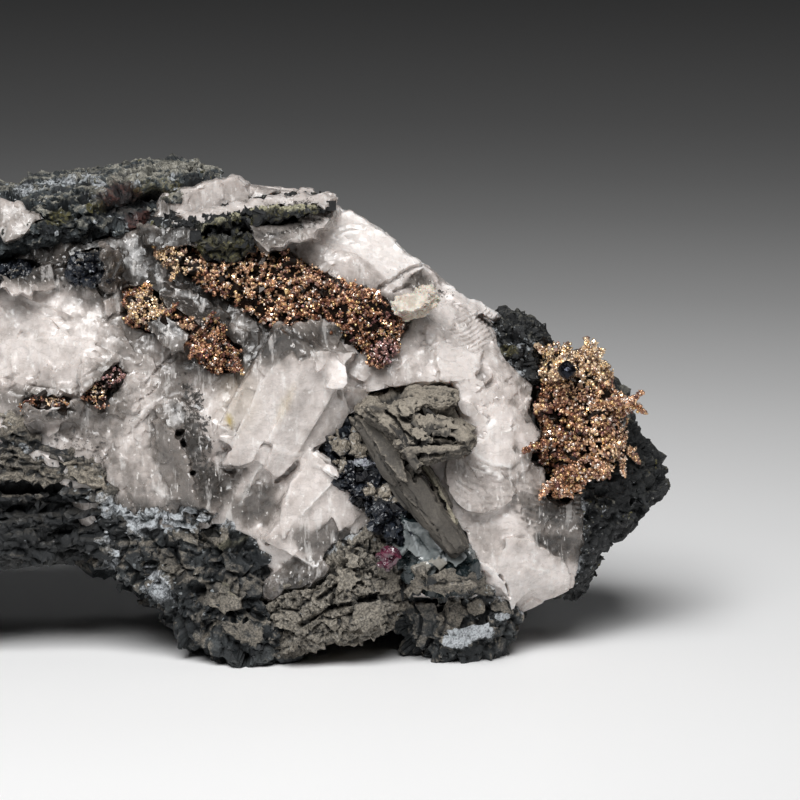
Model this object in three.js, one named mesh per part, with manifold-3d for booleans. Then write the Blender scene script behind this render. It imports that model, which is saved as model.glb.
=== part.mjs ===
// Silver on calcite: a hand specimen broken from a vein, in millimetres, +Z up.
// +X runs along the specimen, -Y is its show face, and z = 0 is the surface that it rests on.
// The origin is the middle of the specimen's footprint.
import * as THREE from "three";
import { mergeVertices } from "three/addons/utils/BufferGeometryUtils.js";
import Module from "manifold-3d";

const wasm = await Module();
wasm.setup();

// Driving dimensions
const length = 92; // along X
const depth = 34; // along Y, show face to back
const height = 47.6; // along Z, above the resting surface
const contactGap = 0.35; // between grown-together pieces, so that each stays a solid of its own
const sliver = 0.14; // detail finer than this is dropped after cutting
const bedSliver = 0.08; // the same, for the bed that a piece leaves in its neighbour
const showFaceLean = 0.14; // mm that the show face falls back for each mm of height
const faceMiddle = { x: 12, z: 22 }; // where the lean and the swing are nil
const leftEndSwing = 0.1; // mm that the left end falls back for each mm left of the middle

// Surfaces, one for each mineral
const finish = {
  calcite: { color: 0xd9cfc8, roughness: 0.35, metalness: 0 },
  creamCalcite: { color: 0xe0d9b8, roughness: 0.5, metalness: 0 },
  wallRock: { color: 0x4b4a43, roughness: 0.85, metalness: 0 },
  slate: { color: 0x7d776b, roughness: 0.9, metalness: 0 },
  sulphide: { color: 0x23272e, roughness: 0.35, metalness: 0.4 },
  quartz: { color: 0x5f6f78, roughness: 0.2, metalness: 0 },
  silver: { color: 0xa8693c, roughness: 0.35, metalness: 0.9 },
  rubySilver: { color: 0x5a1c38, roughness: 0.2, metalness: 0.2 },
};

// A smooth, repeatable unevenness between -1 and 1 over space.
function unevenness(point, wavelength, seed) {
  const k = (2 * Math.PI) / wavelength;
  const { x, y, z } = point;
  const a = Math.sin(k * (0.81 * x + 0.33 * y - 0.47 * z) + 1.7 * seed);
  const b = Math.sin(k * (-0.29 * x + 0.86 * y + 0.55 * z) * 1.31 + 2.9 * seed);
  const c = Math.sin(k * (0.52 * x - 0.44 * y + 0.94 * z) * 1.73 + 4.3 * seed);
  return (a + b + c + a * b + b * c) / 5;
}

// How far hollows (positive) and bosses (negative) move the show face along Y at a point.
function reliefAt(relief, x, z) {
  let sum = 0;
  for (const { at, size, turn = 0, depth: reach } of relief) {
    const angle = THREE.MathUtils.degToRad(turn);
    const dx = x - at[0];
    const dz = z - at[1];
    const along = (dx * Math.cos(angle) + dz * Math.sin(angle)) / size[0];
    const across = (dz * Math.cos(angle) - dx * Math.sin(angle)) / size[1];
    sum += reach * Math.exp(-Math.pow(along * along + across * across, 2));
  }
  return sum;
}

// A lump drawn by its outline seen from the show face, as [x, z] points, and by how far it
// reaches forwards and backwards of the plane y = middle, in which the outline lies. Every point
// of the outline is seen from the lump's heart, which is the outline's mean unless it is given.
function lump(piece) {
  const { outline, heart, front, middle, back, relief = [] } = piece;
  const { spokes = 20, rings = 7, boxy = 3, rough = 0.6, wave = 9, seed = 1 } = piece;
  const flat = outline.map(([x, z]) => new THREE.Vector2(x, z));
  if (THREE.ShapeUtils.isClockWise(flat)) flat.reverse();
  const points = flat.map((p) => new THREE.Vector3(p.x, middle, p.y));
  const edge = new THREE.CatmullRomCurve3(points, true, "centripetal").getSpacedPoints(spokes);
  edge.pop();
  const mean = edge.reduce((sum, p) => sum.add(p), new THREE.Vector3()).divideScalar(spokes);
  const centre = heart ? new THREE.Vector3(heart[0], middle, heart[1]) : mean;
  const position = [];
  const place = (p, share, reach) => {
    const q = centre.clone().lerp(p, share);
    const swell = Math.pow(1 - Math.pow(share, boxy), 1 / boxy);
    q.y += reach * swell;
    const bump = rough * unevenness(q, wave, seed) + 0.5 * rough * unevenness(q, wave / 2.3, seed + 3);
    q.addScaledVector(q.clone().sub(centre).normalize(), bump);
    if (reach < 0) q.y += swell * reliefAt(relief, q.x, q.z);
    q.y += showFaceLean * (q.z - faceMiddle.z);
    q.y += leftEndSwing * Math.max(0, faceMiddle.x - q.x);
    position.push(q.x, q.y, q.z);
  };
  place(centre, 0, front - middle);
  for (let i = 1; i < rings; i++) {
    const angle = (Math.PI * i) / rings;
    const reach = Math.cos(angle) > 0 ? front - middle : back - middle;
    edge.forEach((p) => place(p, Math.sin(angle), reach));
  }
  place(centre, 0, back - middle);
  const index = [];
  const last = position.length / 3 - 1;
  const at = (ring, spoke) => 1 + ring * spokes + (spoke % spokes);
  for (let s = 0; s < spokes; s++) {
    index.push(0, at(0, s), at(0, s + 1));
    for (let r = 0; r < rings - 2; r++) {
      index.push(at(r, s), at(r + 1, s), at(r, s + 1));
      index.push(at(r, s + 1), at(r + 1, s), at(r + 1, s + 1));
    }
    index.push(last, at(rings - 2, s + 1), at(rings - 2, s));
  }
  const geometry = new THREE.BufferGeometry();
  geometry.setAttribute("position", new THREE.Float32BufferAttribute(position, 3));
  geometry.setIndex(index);
  geometry.computeVertexNormals();
  return geometry;
}

// A cleavage block: a sheared box, turned as its long edges run.
function block({ size, at, turn, shear }) {
  const lean = new THREE.Matrix4().makeShear(0, 0, shear, 0, 0, 0);
  const place = new THREE.Matrix4().compose(
    new THREE.Vector3(...at),
    new THREE.Quaternion().setFromEuler(new THREE.Euler(...turn.map(THREE.MathUtils.degToRad))),
    new THREE.Vector3(1, 1, 1),
  );
  return new THREE.BoxGeometry(...size).applyMatrix4(lean).applyMatrix4(place);
}

function solidOf(geometry) {
  const bare = geometry.clone();
  bare.deleteAttribute("normal");
  bare.deleteAttribute("uv");
  const merged = mergeVertices(bare, 1e-4);
  const vertProperties = new Float32Array(merged.attributes.position.array);
  const triVerts = new Uint32Array(merged.index.array);
  const made = new wasm.Manifold(new wasm.Mesh({ numProp: 3, vertProperties, triVerts }));
  if (made.volume() < 0) throw new Error("inside out");
  return made;
}

// The same geometry with its surface moved outwards, to cut room for the piece in a neighbour.
function grown(geometry, distance) {
  const bare = geometry.clone();
  bare.deleteAttribute("uv");
  bare.deleteAttribute("normal");
  const big = mergeVertices(bare, 1e-4);
  big.computeVertexNormals();
  const { position, normal } = big.attributes;
  for (let i = 0; i < position.count; i++) {
    position.setXYZ(
      i,
      position.getX(i) + distance * normal.getX(i),
      position.getY(i) + distance * normal.getY(i),
      position.getZ(i) + distance * normal.getZ(i),
    );
  }
  return big;
}

const largestBody = (solid) =>
  solid.decompose().reduce((best, body) => (body.volume() > best.volume() ? body : best));

const stockBox = solidOf(new THREE.BoxGeometry(length, depth, height).translate(0, 0, height / 2));

// The pieces, from those that keep their whole shape to those that are cut to make room.
const silverPieces = [
  {
    name: "silver_spray_right", mineral: "silver",
    outline: [
      [34, 31.2], [36.5, 29.8], [38.3, 31.2], [41.3, 28.4], [42, 25.8], [44, 25], [42.8, 22.9],
      [41.8, 19.9], [40.2, 17.3], [37.6, 17.4], [37, 15.6], [33.6, 15.6], [34.2, 18.4],
      [31.6, 19.8], [33.2, 21.9], [32.2, 24.4], [33.1, 27.4], [32.8, 29.9],
    ],
    front: -11, middle: -5, back: 0, spokes: 26, rings: 7, rough: 0.5, wave: 4, seed: 2,
  },
  {
    name: "silver_band_upper", mineral: "silver",
    outline: [
      [-5, 41.4], [-2.4, 41.2], [1.5, 40.6], [5.5, 40.6], [9.2, 39.8], [12.3, 38],
      [15.8, 36.4], [19, 35.4], [19.4, 33], [18.2, 29.6], [16.6, 30.8], [14.4, 32], [11.5, 33.2],
      [9, 32.6], [6, 33.4], [2.6, 35.6], [-1.2, 38], [-4.2, 39.8],
    ],
    heart: [9.6, 36.6],
    front: -13.6, middle: -11.4, back: -6, spokes: 28, rings: 6, rough: 0.4, wave: 4, seed: 5,
  },
  {
    name: "silver_tuft_left", mineral: "silver",
    outline: [
      [-7.9, 35.8], [-5.6, 36.9], [-3.9, 35.6], [-1, 34.6], [1.8, 34.4], [2.2, 32.8],
      [4.3, 30.4], [3.2, 28.9], [0.6, 29.4], [-1.1, 31.6], [-4.4, 32.8], [-7, 33.4],
    ],
    front: -14.6, middle: -12.2, back: -8, spokes: 20, rings: 6, rough: 0.3, wave: 4, seed: 7,
  },
  {
    name: "silver_fleck_near", mineral: "silver",
    outline: [[-12, 26.8], [-9.8, 29], [-7.4, 29.5], [-7.9, 27.4], [-10.2, 25.8]],
    front: -15.4, middle: -13.8, back: -11.5, spokes: 9, rings: 5, rough: 0.2, wave: 3, seed: 8,
  },
  {
    name: "silver_fleck_far", mineral: "silver",
    outline: [[-18, 25.4], [-15.5, 26.8], [-13, 26.2], [-13.4, 24.8], [-16, 24.9]],
    front: -15.4, middle: -13.8, back: -11.5, spokes: 9, rings: 5, rough: 0.2, wave: 3, seed: 9,
  },
];

const smallCrystals = [
  {
    name: "acanthite_bead", mineral: "sulphide",
    outline: [[36.6, 29.2], [35.8, 30], [35, 29.2], [35.8, 28.4]],
    front: -13, middle: -12, back: -11, spokes: 8, rings: 6, boxy: 2, rough: 0, seed: 3,
  },
  {
    name: "ruby_silver_crystal", mineral: "rubySilver",
    outline: [[19.4, 11.8], [18.5, 12.6], [17.4, 11.7], [18.2, 10.5]],
    front: -16, middle: -14.6, back: -13.4, spokes: 7, rings: 5, boxy: 2, rough: 0.1, seed: 4,
  },
  {
    name: "cream_calcite_flake", mineral: "creamCalcite",
    outline: [[18.8, 35.6], [20.6, 36.1], [21.8, 37.2], [23.2, 36.8], [22.4, 35.2], [20, 34.4]],
    front: -13.8, middle: -12.4, back: -10, spokes: 11, rings: 5, rough: 0.15, wave: 3, seed: 6,
  },
];

const wallRocks = [
  {
    name: "slate_wedge", mineral: "slate",
    outline: [
      [15, 25.8], [18, 27.2], [22, 27.6], [25.4, 27.4], [24.8, 25], [27.2, 23.4], [26.2, 21.4],
      [22, 20.4], [19.4, 21.2], [17.4, 23.6],
    ],
    front: -17.6, middle: -13, back: -7, spokes: 20, rings: 7, rough: 0.5, wave: 6, seed: 11,
  },
  {
    name: "slate_flake", mineral: "slate",
    outline: [
      [14.8, 25.4], [17.4, 24.6], [20, 21], [23, 16.6], [26.4, 11.8], [25.4, 11], [22, 14.2],
      [18.4, 18.6], [15.8, 22.8],
    ],
    front: -15.4, middle: -12.6, back: -7, spokes: 18, rings: 6, rough: 0.3, wave: 7, seed: 12,
  },
  {
    name: "sulphide_pocket", mineral: "sulphide",
    outline: [
      [11.8, 21.4], [13.2, 24], [16, 24.8], [18, 22], [20, 17.4], [21.5, 13.6], [19.8, 11.6],
      [17.6, 13.8], [15.4, 16], [13, 18],
    ],
    front: -13.2, middle: -11.4, back: -5, spokes: 16, rings: 6, rough: 0.5, wave: 4, seed: 13,
  },
  {
    name: "grey_quartz", mineral: "quartz",
    outline: [[20, 17.6], [22.6, 16], [25.8, 12.4], [27, 9.4], [25, 7.4], [20.6, 8.4], [19, 12.6]],
    front: -12.8, middle: -11, back: -5, spokes: 14, rings: 6, rough: 0.4, wave: 5, seed: 14,
  },
  {
    name: "sulphide_seam", mineral: "sulphide",
    outline: [
      [-4.6, 24], [-2.6, 25.6], [-1, 23.4], [-0.2, 19.6], [1, 16], [-0.6, 14.6], [-2, 18.2],
      [-3.4, 21.2],
    ],
    front: -13.8, middle: -12.2, back: -8, spokes: 14, rings: 5, rough: 0.3, wave: 3, seed: 15,
  },
  {
    name: "sulphide_patch_left", mineral: "sulphide",
    outline: [[-13.4, 38.6], [-11.2, 40.2], [-8.8, 39.8], [-8.6, 37.8], [-11, 37.2], [-13, 37.4]],
    front: -14.6, middle: -12.6, back: -8, spokes: 11, rings: 5, rough: 0.3, wave: 3, seed: 16,
  },
  {
    name: "sulphide_patch_far_left", mineral: "sulphide",
    outline: [[-22, 39.4], [-18, 39.2], [-15.4, 38.4], [-16, 37], [-19, 37.4], [-22.4, 37.4]],
    front: -14.8, middle: -12.8, back: -8, spokes: 11, rings: 5, rough: 0.3, wave: 3, seed: 17,
  },
  {
    name: "wall_rock_ledge", mineral: "wallRock",
    outline: [
      [-6, 41.6], [-3.4, 43.2], [-0.4, 43.2], [3.5, 44.3], [7.5, 45.1], [12.6, 45.4],
      [13.4, 44.4], [9.6, 42.8], [6.4, 41.8], [4, 40.8], [1, 40.2], [-1.6, 41], [-5.6, 40.6],
    ],
    heart: [4, 42.6],
    front: -14.6, middle: -9, back: -1, spokes: 24, rings: 7, rough: 0.4, wave: 5, seed: 21,
  },
  {
    name: "wall_rock_knob", mineral: "wallRock",
    outline: [[28.9, 31.8], [30.6, 33.2], [34, 30.8], [34.7, 27.4], [32.6, 26.2], [30, 27.6]],
    front: -6.5, middle: -2, back: 6, spokes: 14, rings: 6, rough: 0.5, wave: 4, seed: 22,
  },
  {
    name: "wall_rock_right", mineral: "wallRock",
    outline: [
      [43.3, 21], [44.8, 18], [46.6, 16], [46, 14.8], [43.6, 13.4], [42.6, 11.4], [39.8, 9.8],
      [38.8, 7.2], [37.8, 4.8], [35.8, 4.4], [34.6, 7.6], [33.6, 11.6], [33, 16], [32.6, 21.6],
      [33.8, 26.4], [35.8, 28.4], [39.4, 27], [42, 24.2],
    ],
    front: -5, middle: 3, back: 13, spokes: 24, rings: 7, rough: 0.5, wave: 5, seed: 23,
  },
  {
    name: "wall_rock_foot", mineral: "wallRock",
    outline: [
      [17.8, 6.2], [21.4, 8.6], [27, 8.4], [30.4, 6], [31.4, 3], [27.4, -0.8], [22.4, -1],
      [20.4, 1.2],
    ],
    front: -9, middle: -3, back: 9, spokes: 18, rings: 7, rough: 0.4, wave: 6, seed: 24,
  },
  {
    name: "wall_rock_breccia", mineral: "wallRock",
    outline: [
      [6, 3.4], [5.4, 8], [9.6, 9.6], [12, 11], [14.5, 13.4], [17.4, 14.8], [19.8, 12],
      [20, 6], [18.4, 3.4], [15, 2.6], [11, 1.6], [7.4, 0.8],
    ],
    front: -13, middle: -7, back: 4, spokes: 20, rings: 7, rough: 0.6, wave: 6, seed: 25,
  },
  {
    name: "wall_rock_base", mineral: "wallRock",
    outline: [
      [-10.5, 17.6], [-5, 15.4], [-0.5, 15], [3, 16.2], [6, 14.6], [8.6, 11], [9.4, 6],
      [10, -0.8], [6.5, -1.6], [2, -1.2], [-1.6, 1.8], [-5, 5.4], [-8.6, 9.6], [-10.6, 13.4],
    ],
    heart: [0, 9.6],
    front: -12.6, middle: -2.4, back: 14, spokes: 24, rings: 8, rough: 0.6, wave: 7, seed: 26,
  },
  {
    name: "wall_rock_left", mineral: "wallRock",
    outline: [
      [-9, 16], [-10.4, 19.4], [-14.5, 21.8], [-20.4, 23], [-30, 22], [-38, 20],
      [-43, 14.6], [-42, 8], [-38, 1], [-34, -1.2], [-28, -1], [-24, 3.6], [-20.4, 7.4],
      [-14.5, 8.6], [-10.4, 9.4],
    ],
    front: -14, middle: 0, back: 13, spokes: 24, rings: 7, rough: 0.8, wave: 8, seed: 27,
  },
  {
    name: "wall_rock_crust", mineral: "wallRock",
    outline: [
      [2, 46.6], [-1.4, 47.8], [-6, 47.4], [-14, 46.4], [-22, 44.6], [-30, 41.4], [-37, 37],
      [-38, 33], [-30, 35], [-22, 38.4], [-14, 40.6], [-8, 41.4], [-2, 43.4],
    ],
    heart: [-17, 42],
    front: -12, middle: -3, back: 6, spokes: 26, rings: 7, rough: 0.5, wave: 7, seed: 28,
  },
  {
    name: "wall_rock_back", mineral: "wallRock",
    outline: [
      [36, 23], [29, 31], [20, 37], [10, 42], [-4, 44], [-20, 41.5], [-33, 35.5], [-42, 26],
      [-46.8, 15], [-39, 7], [-24, 9], [-10, 6], [-2, -0.6], [12, -1], [26, 1.5], [33, 7],
      [36, 14],
    ],
    front: 0, middle: 4, back: 17.4, boxy: 2.2, spokes: 18, rings: 7, rough: 1.4, wave: 15,
    seed: 29,
  },
];

const calciteVein = {
  name: "calcite_vein", mineral: "calcite",
  outline: [
    [37.4, 21], [33.4, 27.2], [29.2, 31.6], [22.6, 37.4], [13, 44], [5, 46], [-3, 46.4],
    [-14, 45.4], [-26, 42], [-36, 36], [-43, 28], [-42, 18], [-32, 12], [-20.4, 12], [-6, 7],
    [9, 4], [24, 5], [30.6, 3.6], [36.4, 5.6], [38, 12],
  ],
  front: -12.4, middle: -1, back: 8, spokes: 28, rings: 9, rough: 0.6, wave: 12, seed: 31,
  relief: [
    { at: [6, 37.6], size: [13, 4], turn: -22, depth: 1.6 }, // bay in which the upper silver lies
    { at: [-2, 33], size: [6, 3], turn: -30, depth: 0.8 }, // bay of the left tuft
    { at: [16, 19], size: [6, 6], turn: 60, depth: 1.6 }, // pocket behind the slate flake
    { at: [-14, 31], size: [8, 7], depth: -1 }, // bright cleavage mass of the left end
    { at: [24, 29], size: [6, 5], turn: -45, depth: -0.6 }, // lens of the right shoulder
  ],
};

// Large cleavage crystals that stand out of the vein and are one with it.
const cleavageBlocks = [
  { size: [8, 4, 12.5], at: [8, -12.2, 26.6], turn: [6, 30, 0], shear: 0.1 },
  { size: [6, 4, 10], at: [10.6, -11.6, 16], turn: [-6, 28, 12], shear: -0.2 },
];

// The vein's lump with its standing crystals joined on.
function veinBody() {
  const body = solidOf(lump(calciteVein));
  return cleavageBlocks.reduce((joined, crystal) => joined.add(solidOf(block(crystal))), body);
}

function meshOf(name, mineral, solid) {
  const { numProp, vertProperties, triVerts } = solid.getMesh();
  const position = new Float32Array((vertProperties.length / numProp) * 3);
  for (let i = 0; i < position.length / 3; i++) {
    position.set(vertProperties.subarray(i * numProp, i * numProp + 3), i * 3);
  }
  const geometry = new THREE.BufferGeometry();
  geometry.setAttribute("position", new THREE.BufferAttribute(position, 3));
  geometry.setIndex(new THREE.BufferAttribute(triVerts, 1));
  geometry.computeVertexNormals();
  const mesh = new THREE.Mesh(geometry, new THREE.MeshStandardMaterial(finish[mineral]));
  mesh.name = name;
  return mesh;
}

const specimen = new THREE.Group();
const beds = []; // the room that each finished piece takes in those that come after it

function addCut(piece, body) {
  const free = beds.reduce((left, bed) => left.subtract(bed), body);
  const shape = largestBody(free.intersect(stockBox).simplify(sliver));
  specimen.add(meshOf(piece.name, piece.mineral, shape));
}

for (const piece of [...silverPieces, ...smallCrystals, ...wallRocks]) {
  const geometry = lump(piece);
  addCut(piece, solidOf(geometry));
  beds.push(solidOf(grown(geometry, contactGap)).simplify(bedSliver));
}
addCut(calciteVein, veinBody());

export default specimen;
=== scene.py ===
import math
import time
from itertools import product

import bmesh
import bpy
import numpy as np
from mathutils import Matrix, Vector
from mathutils.bvhtree import BVHTree


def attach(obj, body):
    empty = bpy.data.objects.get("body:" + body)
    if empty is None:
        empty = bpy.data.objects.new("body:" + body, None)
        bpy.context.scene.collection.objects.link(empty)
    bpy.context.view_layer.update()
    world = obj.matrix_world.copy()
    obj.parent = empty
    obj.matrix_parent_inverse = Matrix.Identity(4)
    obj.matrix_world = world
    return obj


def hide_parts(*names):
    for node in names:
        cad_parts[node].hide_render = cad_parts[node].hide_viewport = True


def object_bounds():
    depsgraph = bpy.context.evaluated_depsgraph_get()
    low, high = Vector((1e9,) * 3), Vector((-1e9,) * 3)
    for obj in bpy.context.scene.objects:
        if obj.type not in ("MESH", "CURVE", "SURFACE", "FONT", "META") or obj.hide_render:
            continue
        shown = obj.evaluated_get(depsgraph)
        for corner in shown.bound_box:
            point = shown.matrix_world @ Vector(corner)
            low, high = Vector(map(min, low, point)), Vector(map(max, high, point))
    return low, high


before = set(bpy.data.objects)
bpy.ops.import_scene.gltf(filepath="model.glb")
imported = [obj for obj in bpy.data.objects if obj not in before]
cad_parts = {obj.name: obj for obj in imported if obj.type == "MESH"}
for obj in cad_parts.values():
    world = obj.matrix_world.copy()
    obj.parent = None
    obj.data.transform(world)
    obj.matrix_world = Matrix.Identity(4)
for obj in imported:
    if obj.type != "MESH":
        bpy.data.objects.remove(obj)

# Lengths are in millimetres until a mesh is handed over, and metres after that.
mm = 0.001
startTime = time.time()
cadLow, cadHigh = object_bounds()
proud = 0.7  # how far a rough surface may stand out of the frame's box
frontDepth = 6.0  # the finely made front reaches this far back from the middle plane
planeReach = 0.7  # a traced face paints the skin that lies this near to its plane
steepest = 0.12  # how fast a traced face may run away from the eye, per tenth of a millimetre
samePlane = 2.5  # what lies further than this from a traced face's middle has no say in its plane
outlineStep = 4  # a traced outline is broken into steps about this long
farAway = 9.0  # stands for nothing within reach
boxLow = np.array(cadLow) / mm - proud
boxHigh = np.array(cadHigh) / mm + proud
boxLow[2] = 0.0


def report(stage):
    print(f"[{time.time() - startTime:6.1f} s] {stage}", flush=True)


# noise over space, all of it from a hash, so that every run gives the same rock

def hashBits(cells, seed):
    x, y, z = cells[..., 0], cells[..., 1], cells[..., 2]
    salt = np.uint32((seed * 2654435761) & 0xFFFFFFFF)
    h = x * np.uint32(374761393) + y * np.uint32(668265263) + z * np.uint32(2246822519) + salt
    h = (h ^ (h >> np.uint32(13))) * np.uint32(1274126177)
    h = (h ^ (h >> np.uint32(15))) * np.uint32(2246822519)
    return h ^ (h >> np.uint32(16))


def hashed(cells, seed):
    return (hashBits(cells, seed) & np.uint32(0xFFFFFF)).astype(np.float32) / np.float32(0x1000000)


def valueNoise(p, seed):
    cell = np.floor(p).astype(np.int32)
    f = (p - cell).astype(np.float32)
    f = f * f * (3 - 2 * f)
    cell = cell.astype(np.uint32)
    total = np.zeros(len(p), np.float32)
    for corner in product((0, 1), repeat=3):
        x, y, z = (f[:, i] if side else 1 - f[:, i] for i, side in enumerate(corner))
        total += x * y * z * hashed(cell + np.array(corner, np.uint32), seed)
    return total * 2 - 1


def cloudy(p, size, seed, octaves=3):
    # layered noise between about -1 and 1, whose largest lumps are of that size
    total = np.zeros(len(p), np.float32)
    share = 1.0
    for octave in range(octaves):
        total += share * valueNoise(p / size * 2.03 ** octave, seed + 17 * octave)
        share *= 0.5
    return total / 1.6


def cracked(p, size, seed, stretch=(1, 1, 1)):
    # nearest and second nearest of one random point per cell: distances, the nearest's number and offset
    q = (p / size / np.array(stretch)).astype(np.float32)
    cell = np.floor(q).astype(np.int32)
    first, second = (np.full(len(p), farAway, np.float32) for _ in range(2))
    number = np.zeros(len(p), np.float32)
    away = np.zeros((len(p), 3), np.float32)
    part = np.float32(1 / 1024)
    for step in product((-1, 0, 1), repeat=3):
        near = cell + np.array(step, np.int32)
        code = hashBits(near.astype(np.uint32), seed)
        jitter = np.stack([(code >> np.uint32(s) & np.uint32(1023)) for s in (0, 10, 20)], -1)
        jitter = jitter.astype(np.float32) * part
        gap = q - near - jitter
        d = np.einsum("ij,ij->i", gap, gap)
        closer = d < first
        second = np.where(closer, first, np.minimum(second, d))
        first = np.where(closer, d, first)
        number = np.where(closer, jitter[:, 0] * 0.7 + jitter[:, 1] * 0.3, number)
        away[closer] = gap[closer]
    return np.sqrt(first), np.sqrt(second), number, away * size


def smoothStep(low, high, x):
    t = np.clip((x - low) / (high - low), 0, 1)
    return t * t * (3 - 2 * t)


def unit(v):
    return v / np.maximum(np.linalg.norm(v, axis=-1, keepdims=True), 1e-9)


def fragments(p, s, seed):
    # broken pieces, each tilted and at its own height, with cracks between: their rise and numbers
    q = p
    if "along" in s:
        along = np.array(s["along"], float) / np.linalg.norm(s["along"])
        q = p + (1 / s["long"] - 1) * (p @ along)[:, None] * along
    near, far, number, away = cracked(q, s["size"], seed, s.get("stretch", (1, 1, 1)))
    spin = number * 57.0
    tilt = np.stack([np.sin(spin * 1.7), np.sin(spin * 2.9 + 1), np.sin(spin * 4.3 + 2)], -1)
    rise = s["tilt"] * np.einsum("ij,ij->i", away, tilt.astype(np.float32))
    rise += s["lift"] * (np.sin(spin * 3.1) * 0.5)
    if "gap" in s:
        width, depth = s["gap"]
        rise -= depth * (1 - smoothStep(0, width / s["size"], far - near))
    return rise, number


# the show face, on which u runs right and v runs down, both in tenths of a millimetre

def pairs(*numbers):
    return list(zip(numbers[::2], numbers[1::2]))


def oval(u, v, wide, high, turn=0, strength=1.0, soft=0.35):
    return {"at": (u, v), "size": (wide, high), "turn": turn, "strength": strength, "soft": soft}


def dent(u, v, wide, high, turn, depth, dark=0.8, soft=0.35):
    # a dent pressed into the surface, with painted shade in it as strong as dark
    return {**oval(u, v, wide, high, turn, soft=soft), "depth": depth, "dark": dark}


def ridges(u, v, wide, high, turn, pitch, height, bow=0, tones=0.12, wobble=0.2):
    # growth steps along a curved crystal face, with that pitch across them
    shape = {"pitch": pitch, "height": height, "bow": bow, "tones": tones, "wobble": wobble}
    return {**oval(u, v, wide, high, turn), **shape}


def gash(width, depth, dark, *path):
    # a crack along a path, with painted shade in it as strong as dark
    return {"width": width, "depth": depth, "dark": dark, "path": pairs(*path)}


def seam(width, height, bright, *path):
    # a raised line along a crystal's edge, painted bright as a highlight
    return {"width": width, "height": height, "bright": bright, "path": pairs(*path)}


def face(lift, tone, *corners, edge=None, over=False, calm=0.8, thick=2.2, flare=1.12, lean=(0, 0),
         ragged=None, **paint):
    # a flat face traced by its corners, raised by lift from the solid below it or from what is in front
    return {"lift": lift, "tone": tone, "edge": edge or pairs(*corners), "over": over, "calm": calm,
            "thick": thick, "flare": flare, "lean": lean, "ragged": ragged, "paint": paint}


def cover(lift, tone, *corners, **more):
    # a face laid over whatever stands in front, as rough as what is round it
    return face(lift, tone, *corners, over=True, calm=0, **more)


def zone(*spots, level=0, cloud=0, cloudSize=3, ragged=5):
    # where a marking shows: a level everywhere, clouds of that size, and spots with ragged borders
    return {"spots": spots, "level": level, "cloud": cloud, "cloudSize": cloudSize, "ragged": ragged}


def bits(count, small, large, shape, sink, power=1.6, **more):
    # loose or broken bits; a higher power makes more of them small
    return {"count": count, "size": (small, large), "shape": shape, "sink": sink, "power": power, **more}


def broken(size, tilt, lift, tones, **more):
    return {"size": size, "tilt": tilt, "lift": lift, "tones": tones, **more}


showEye = np.array([19.5, -492.404, 111.124])
showAxes = np.array([[1, 0, 0], [0, -0.173648, -0.984808], [0, 0.984808, -0.173648]])
showReach = 500.0
uvMiddle, uvPerMm = 400, 10


def faceUV(p):
    right, down, deep = (showAxes @ (p - showEye).T)
    return np.stack([uvMiddle + uvPerMm * side * showReach / deep for side in (right, down)], -1)


def faceRay(u, v):
    ray = showAxes.T @ np.array([(u - uvMiddle) / uvPerMm, (v - uvMiddle) / uvPerMm, showReach])
    return ray / np.linalg.norm(ray)


def localAxes(uv, spot):
    angle = math.radians(spot["turn"])
    du, dv = uv[:, 0] - spot["at"][0], uv[:, 1] - spot["at"][1]
    return du * math.cos(angle) + dv * math.sin(angle), dv * math.cos(angle) - du * math.sin(angle)


def patch(uv, spot):
    # 1 inside an ellipse on the show face and 0 outside
    along, across = localAxes(uv, spot)
    reach = np.sqrt((along / spot["size"][0]) ** 2 + (across / spot["size"][1]) ** 2)
    soft = spot["soft"]
    return (1 - smoothStep(1 - soft, 1 + soft, reach)) * spot["strength"]


def patches(uv, spots):
    return np.max([patch(uv, spot) for spot in spots], axis=0)


def within(uv, edge):
    corners = np.array(edge)
    near = np.where(np.all((uv > corners.min(0)) & (uv < corners.max(0)), axis=1))[0]
    u, v = uv[near].T
    inside = np.zeros(len(near), bool)
    for (u0, v0), (u1, v1) in zip(edge, edge[1:] + edge[:1]):
        if v0 != v1:
            crosses = (v0 > v) != (v1 > v)
            inside ^= crosses & (u < (u1 - u0) * (v - v0) / (v1 - v0) + u0)
    whole = np.zeros(len(uv), bool)
    whole[near] = inside
    return whole


def nearPath(uv, path):
    best = np.full(len(uv), 1e6)
    for a, b in zip(path, path[1:]):
        a, b = np.array(a, float), np.array(b, float)
        t = np.clip((uv - a) @ (b - a) / max(1e-6, (b - a) @ (b - a)), 0, 1)
        best = np.minimum(best, np.linalg.norm(uv - a - t[:, None] * (b - a), axis=1))
    return best


# meshes as arrays

def pulled(items, key, width, kind=np.float32):
    values = np.empty(len(items) * width, kind)
    items.foreach_get(key, values)
    return values.reshape(-1, width)


def meshTris(mesh):
    mesh.calc_loop_triangles()
    return pulled(mesh.loop_triangles, "vertices", 3, np.int32)


def nodeArrays(name):
    # a solid of the frame, with the corners that its faces share made one
    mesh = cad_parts[name].data
    coords, tris = pulled(mesh.vertices, "co", 3) / mm, meshTris(mesh)
    same, back = np.unique(np.round(coords, 3), axis=0, return_inverse=True)
    tris = back.reshape(-1)[tris]
    good = (tris[:, 0] != tris[:, 1]) & (tris[:, 1] != tris[:, 2]) & (tris[:, 2] != tris[:, 0])
    return same.astype(np.float32), tris[good]


def faceNormals(coords, tris):
    a, b, c = (coords[tris[:, i]] for i in range(3))
    cross = np.cross(b - a, c - a)
    area = np.linalg.norm(cross, axis=1)
    return cross / np.maximum(area, 1e-9)[:, None], area / 2


def swollen(coords, tris, distance):
    normals, area = faceNormals(coords, tris)
    total = np.zeros_like(coords)
    for i in range(3):
        np.add.at(total, tris[:, i], normals * area[:, None])
    return coords + distance * unit(total)


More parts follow.
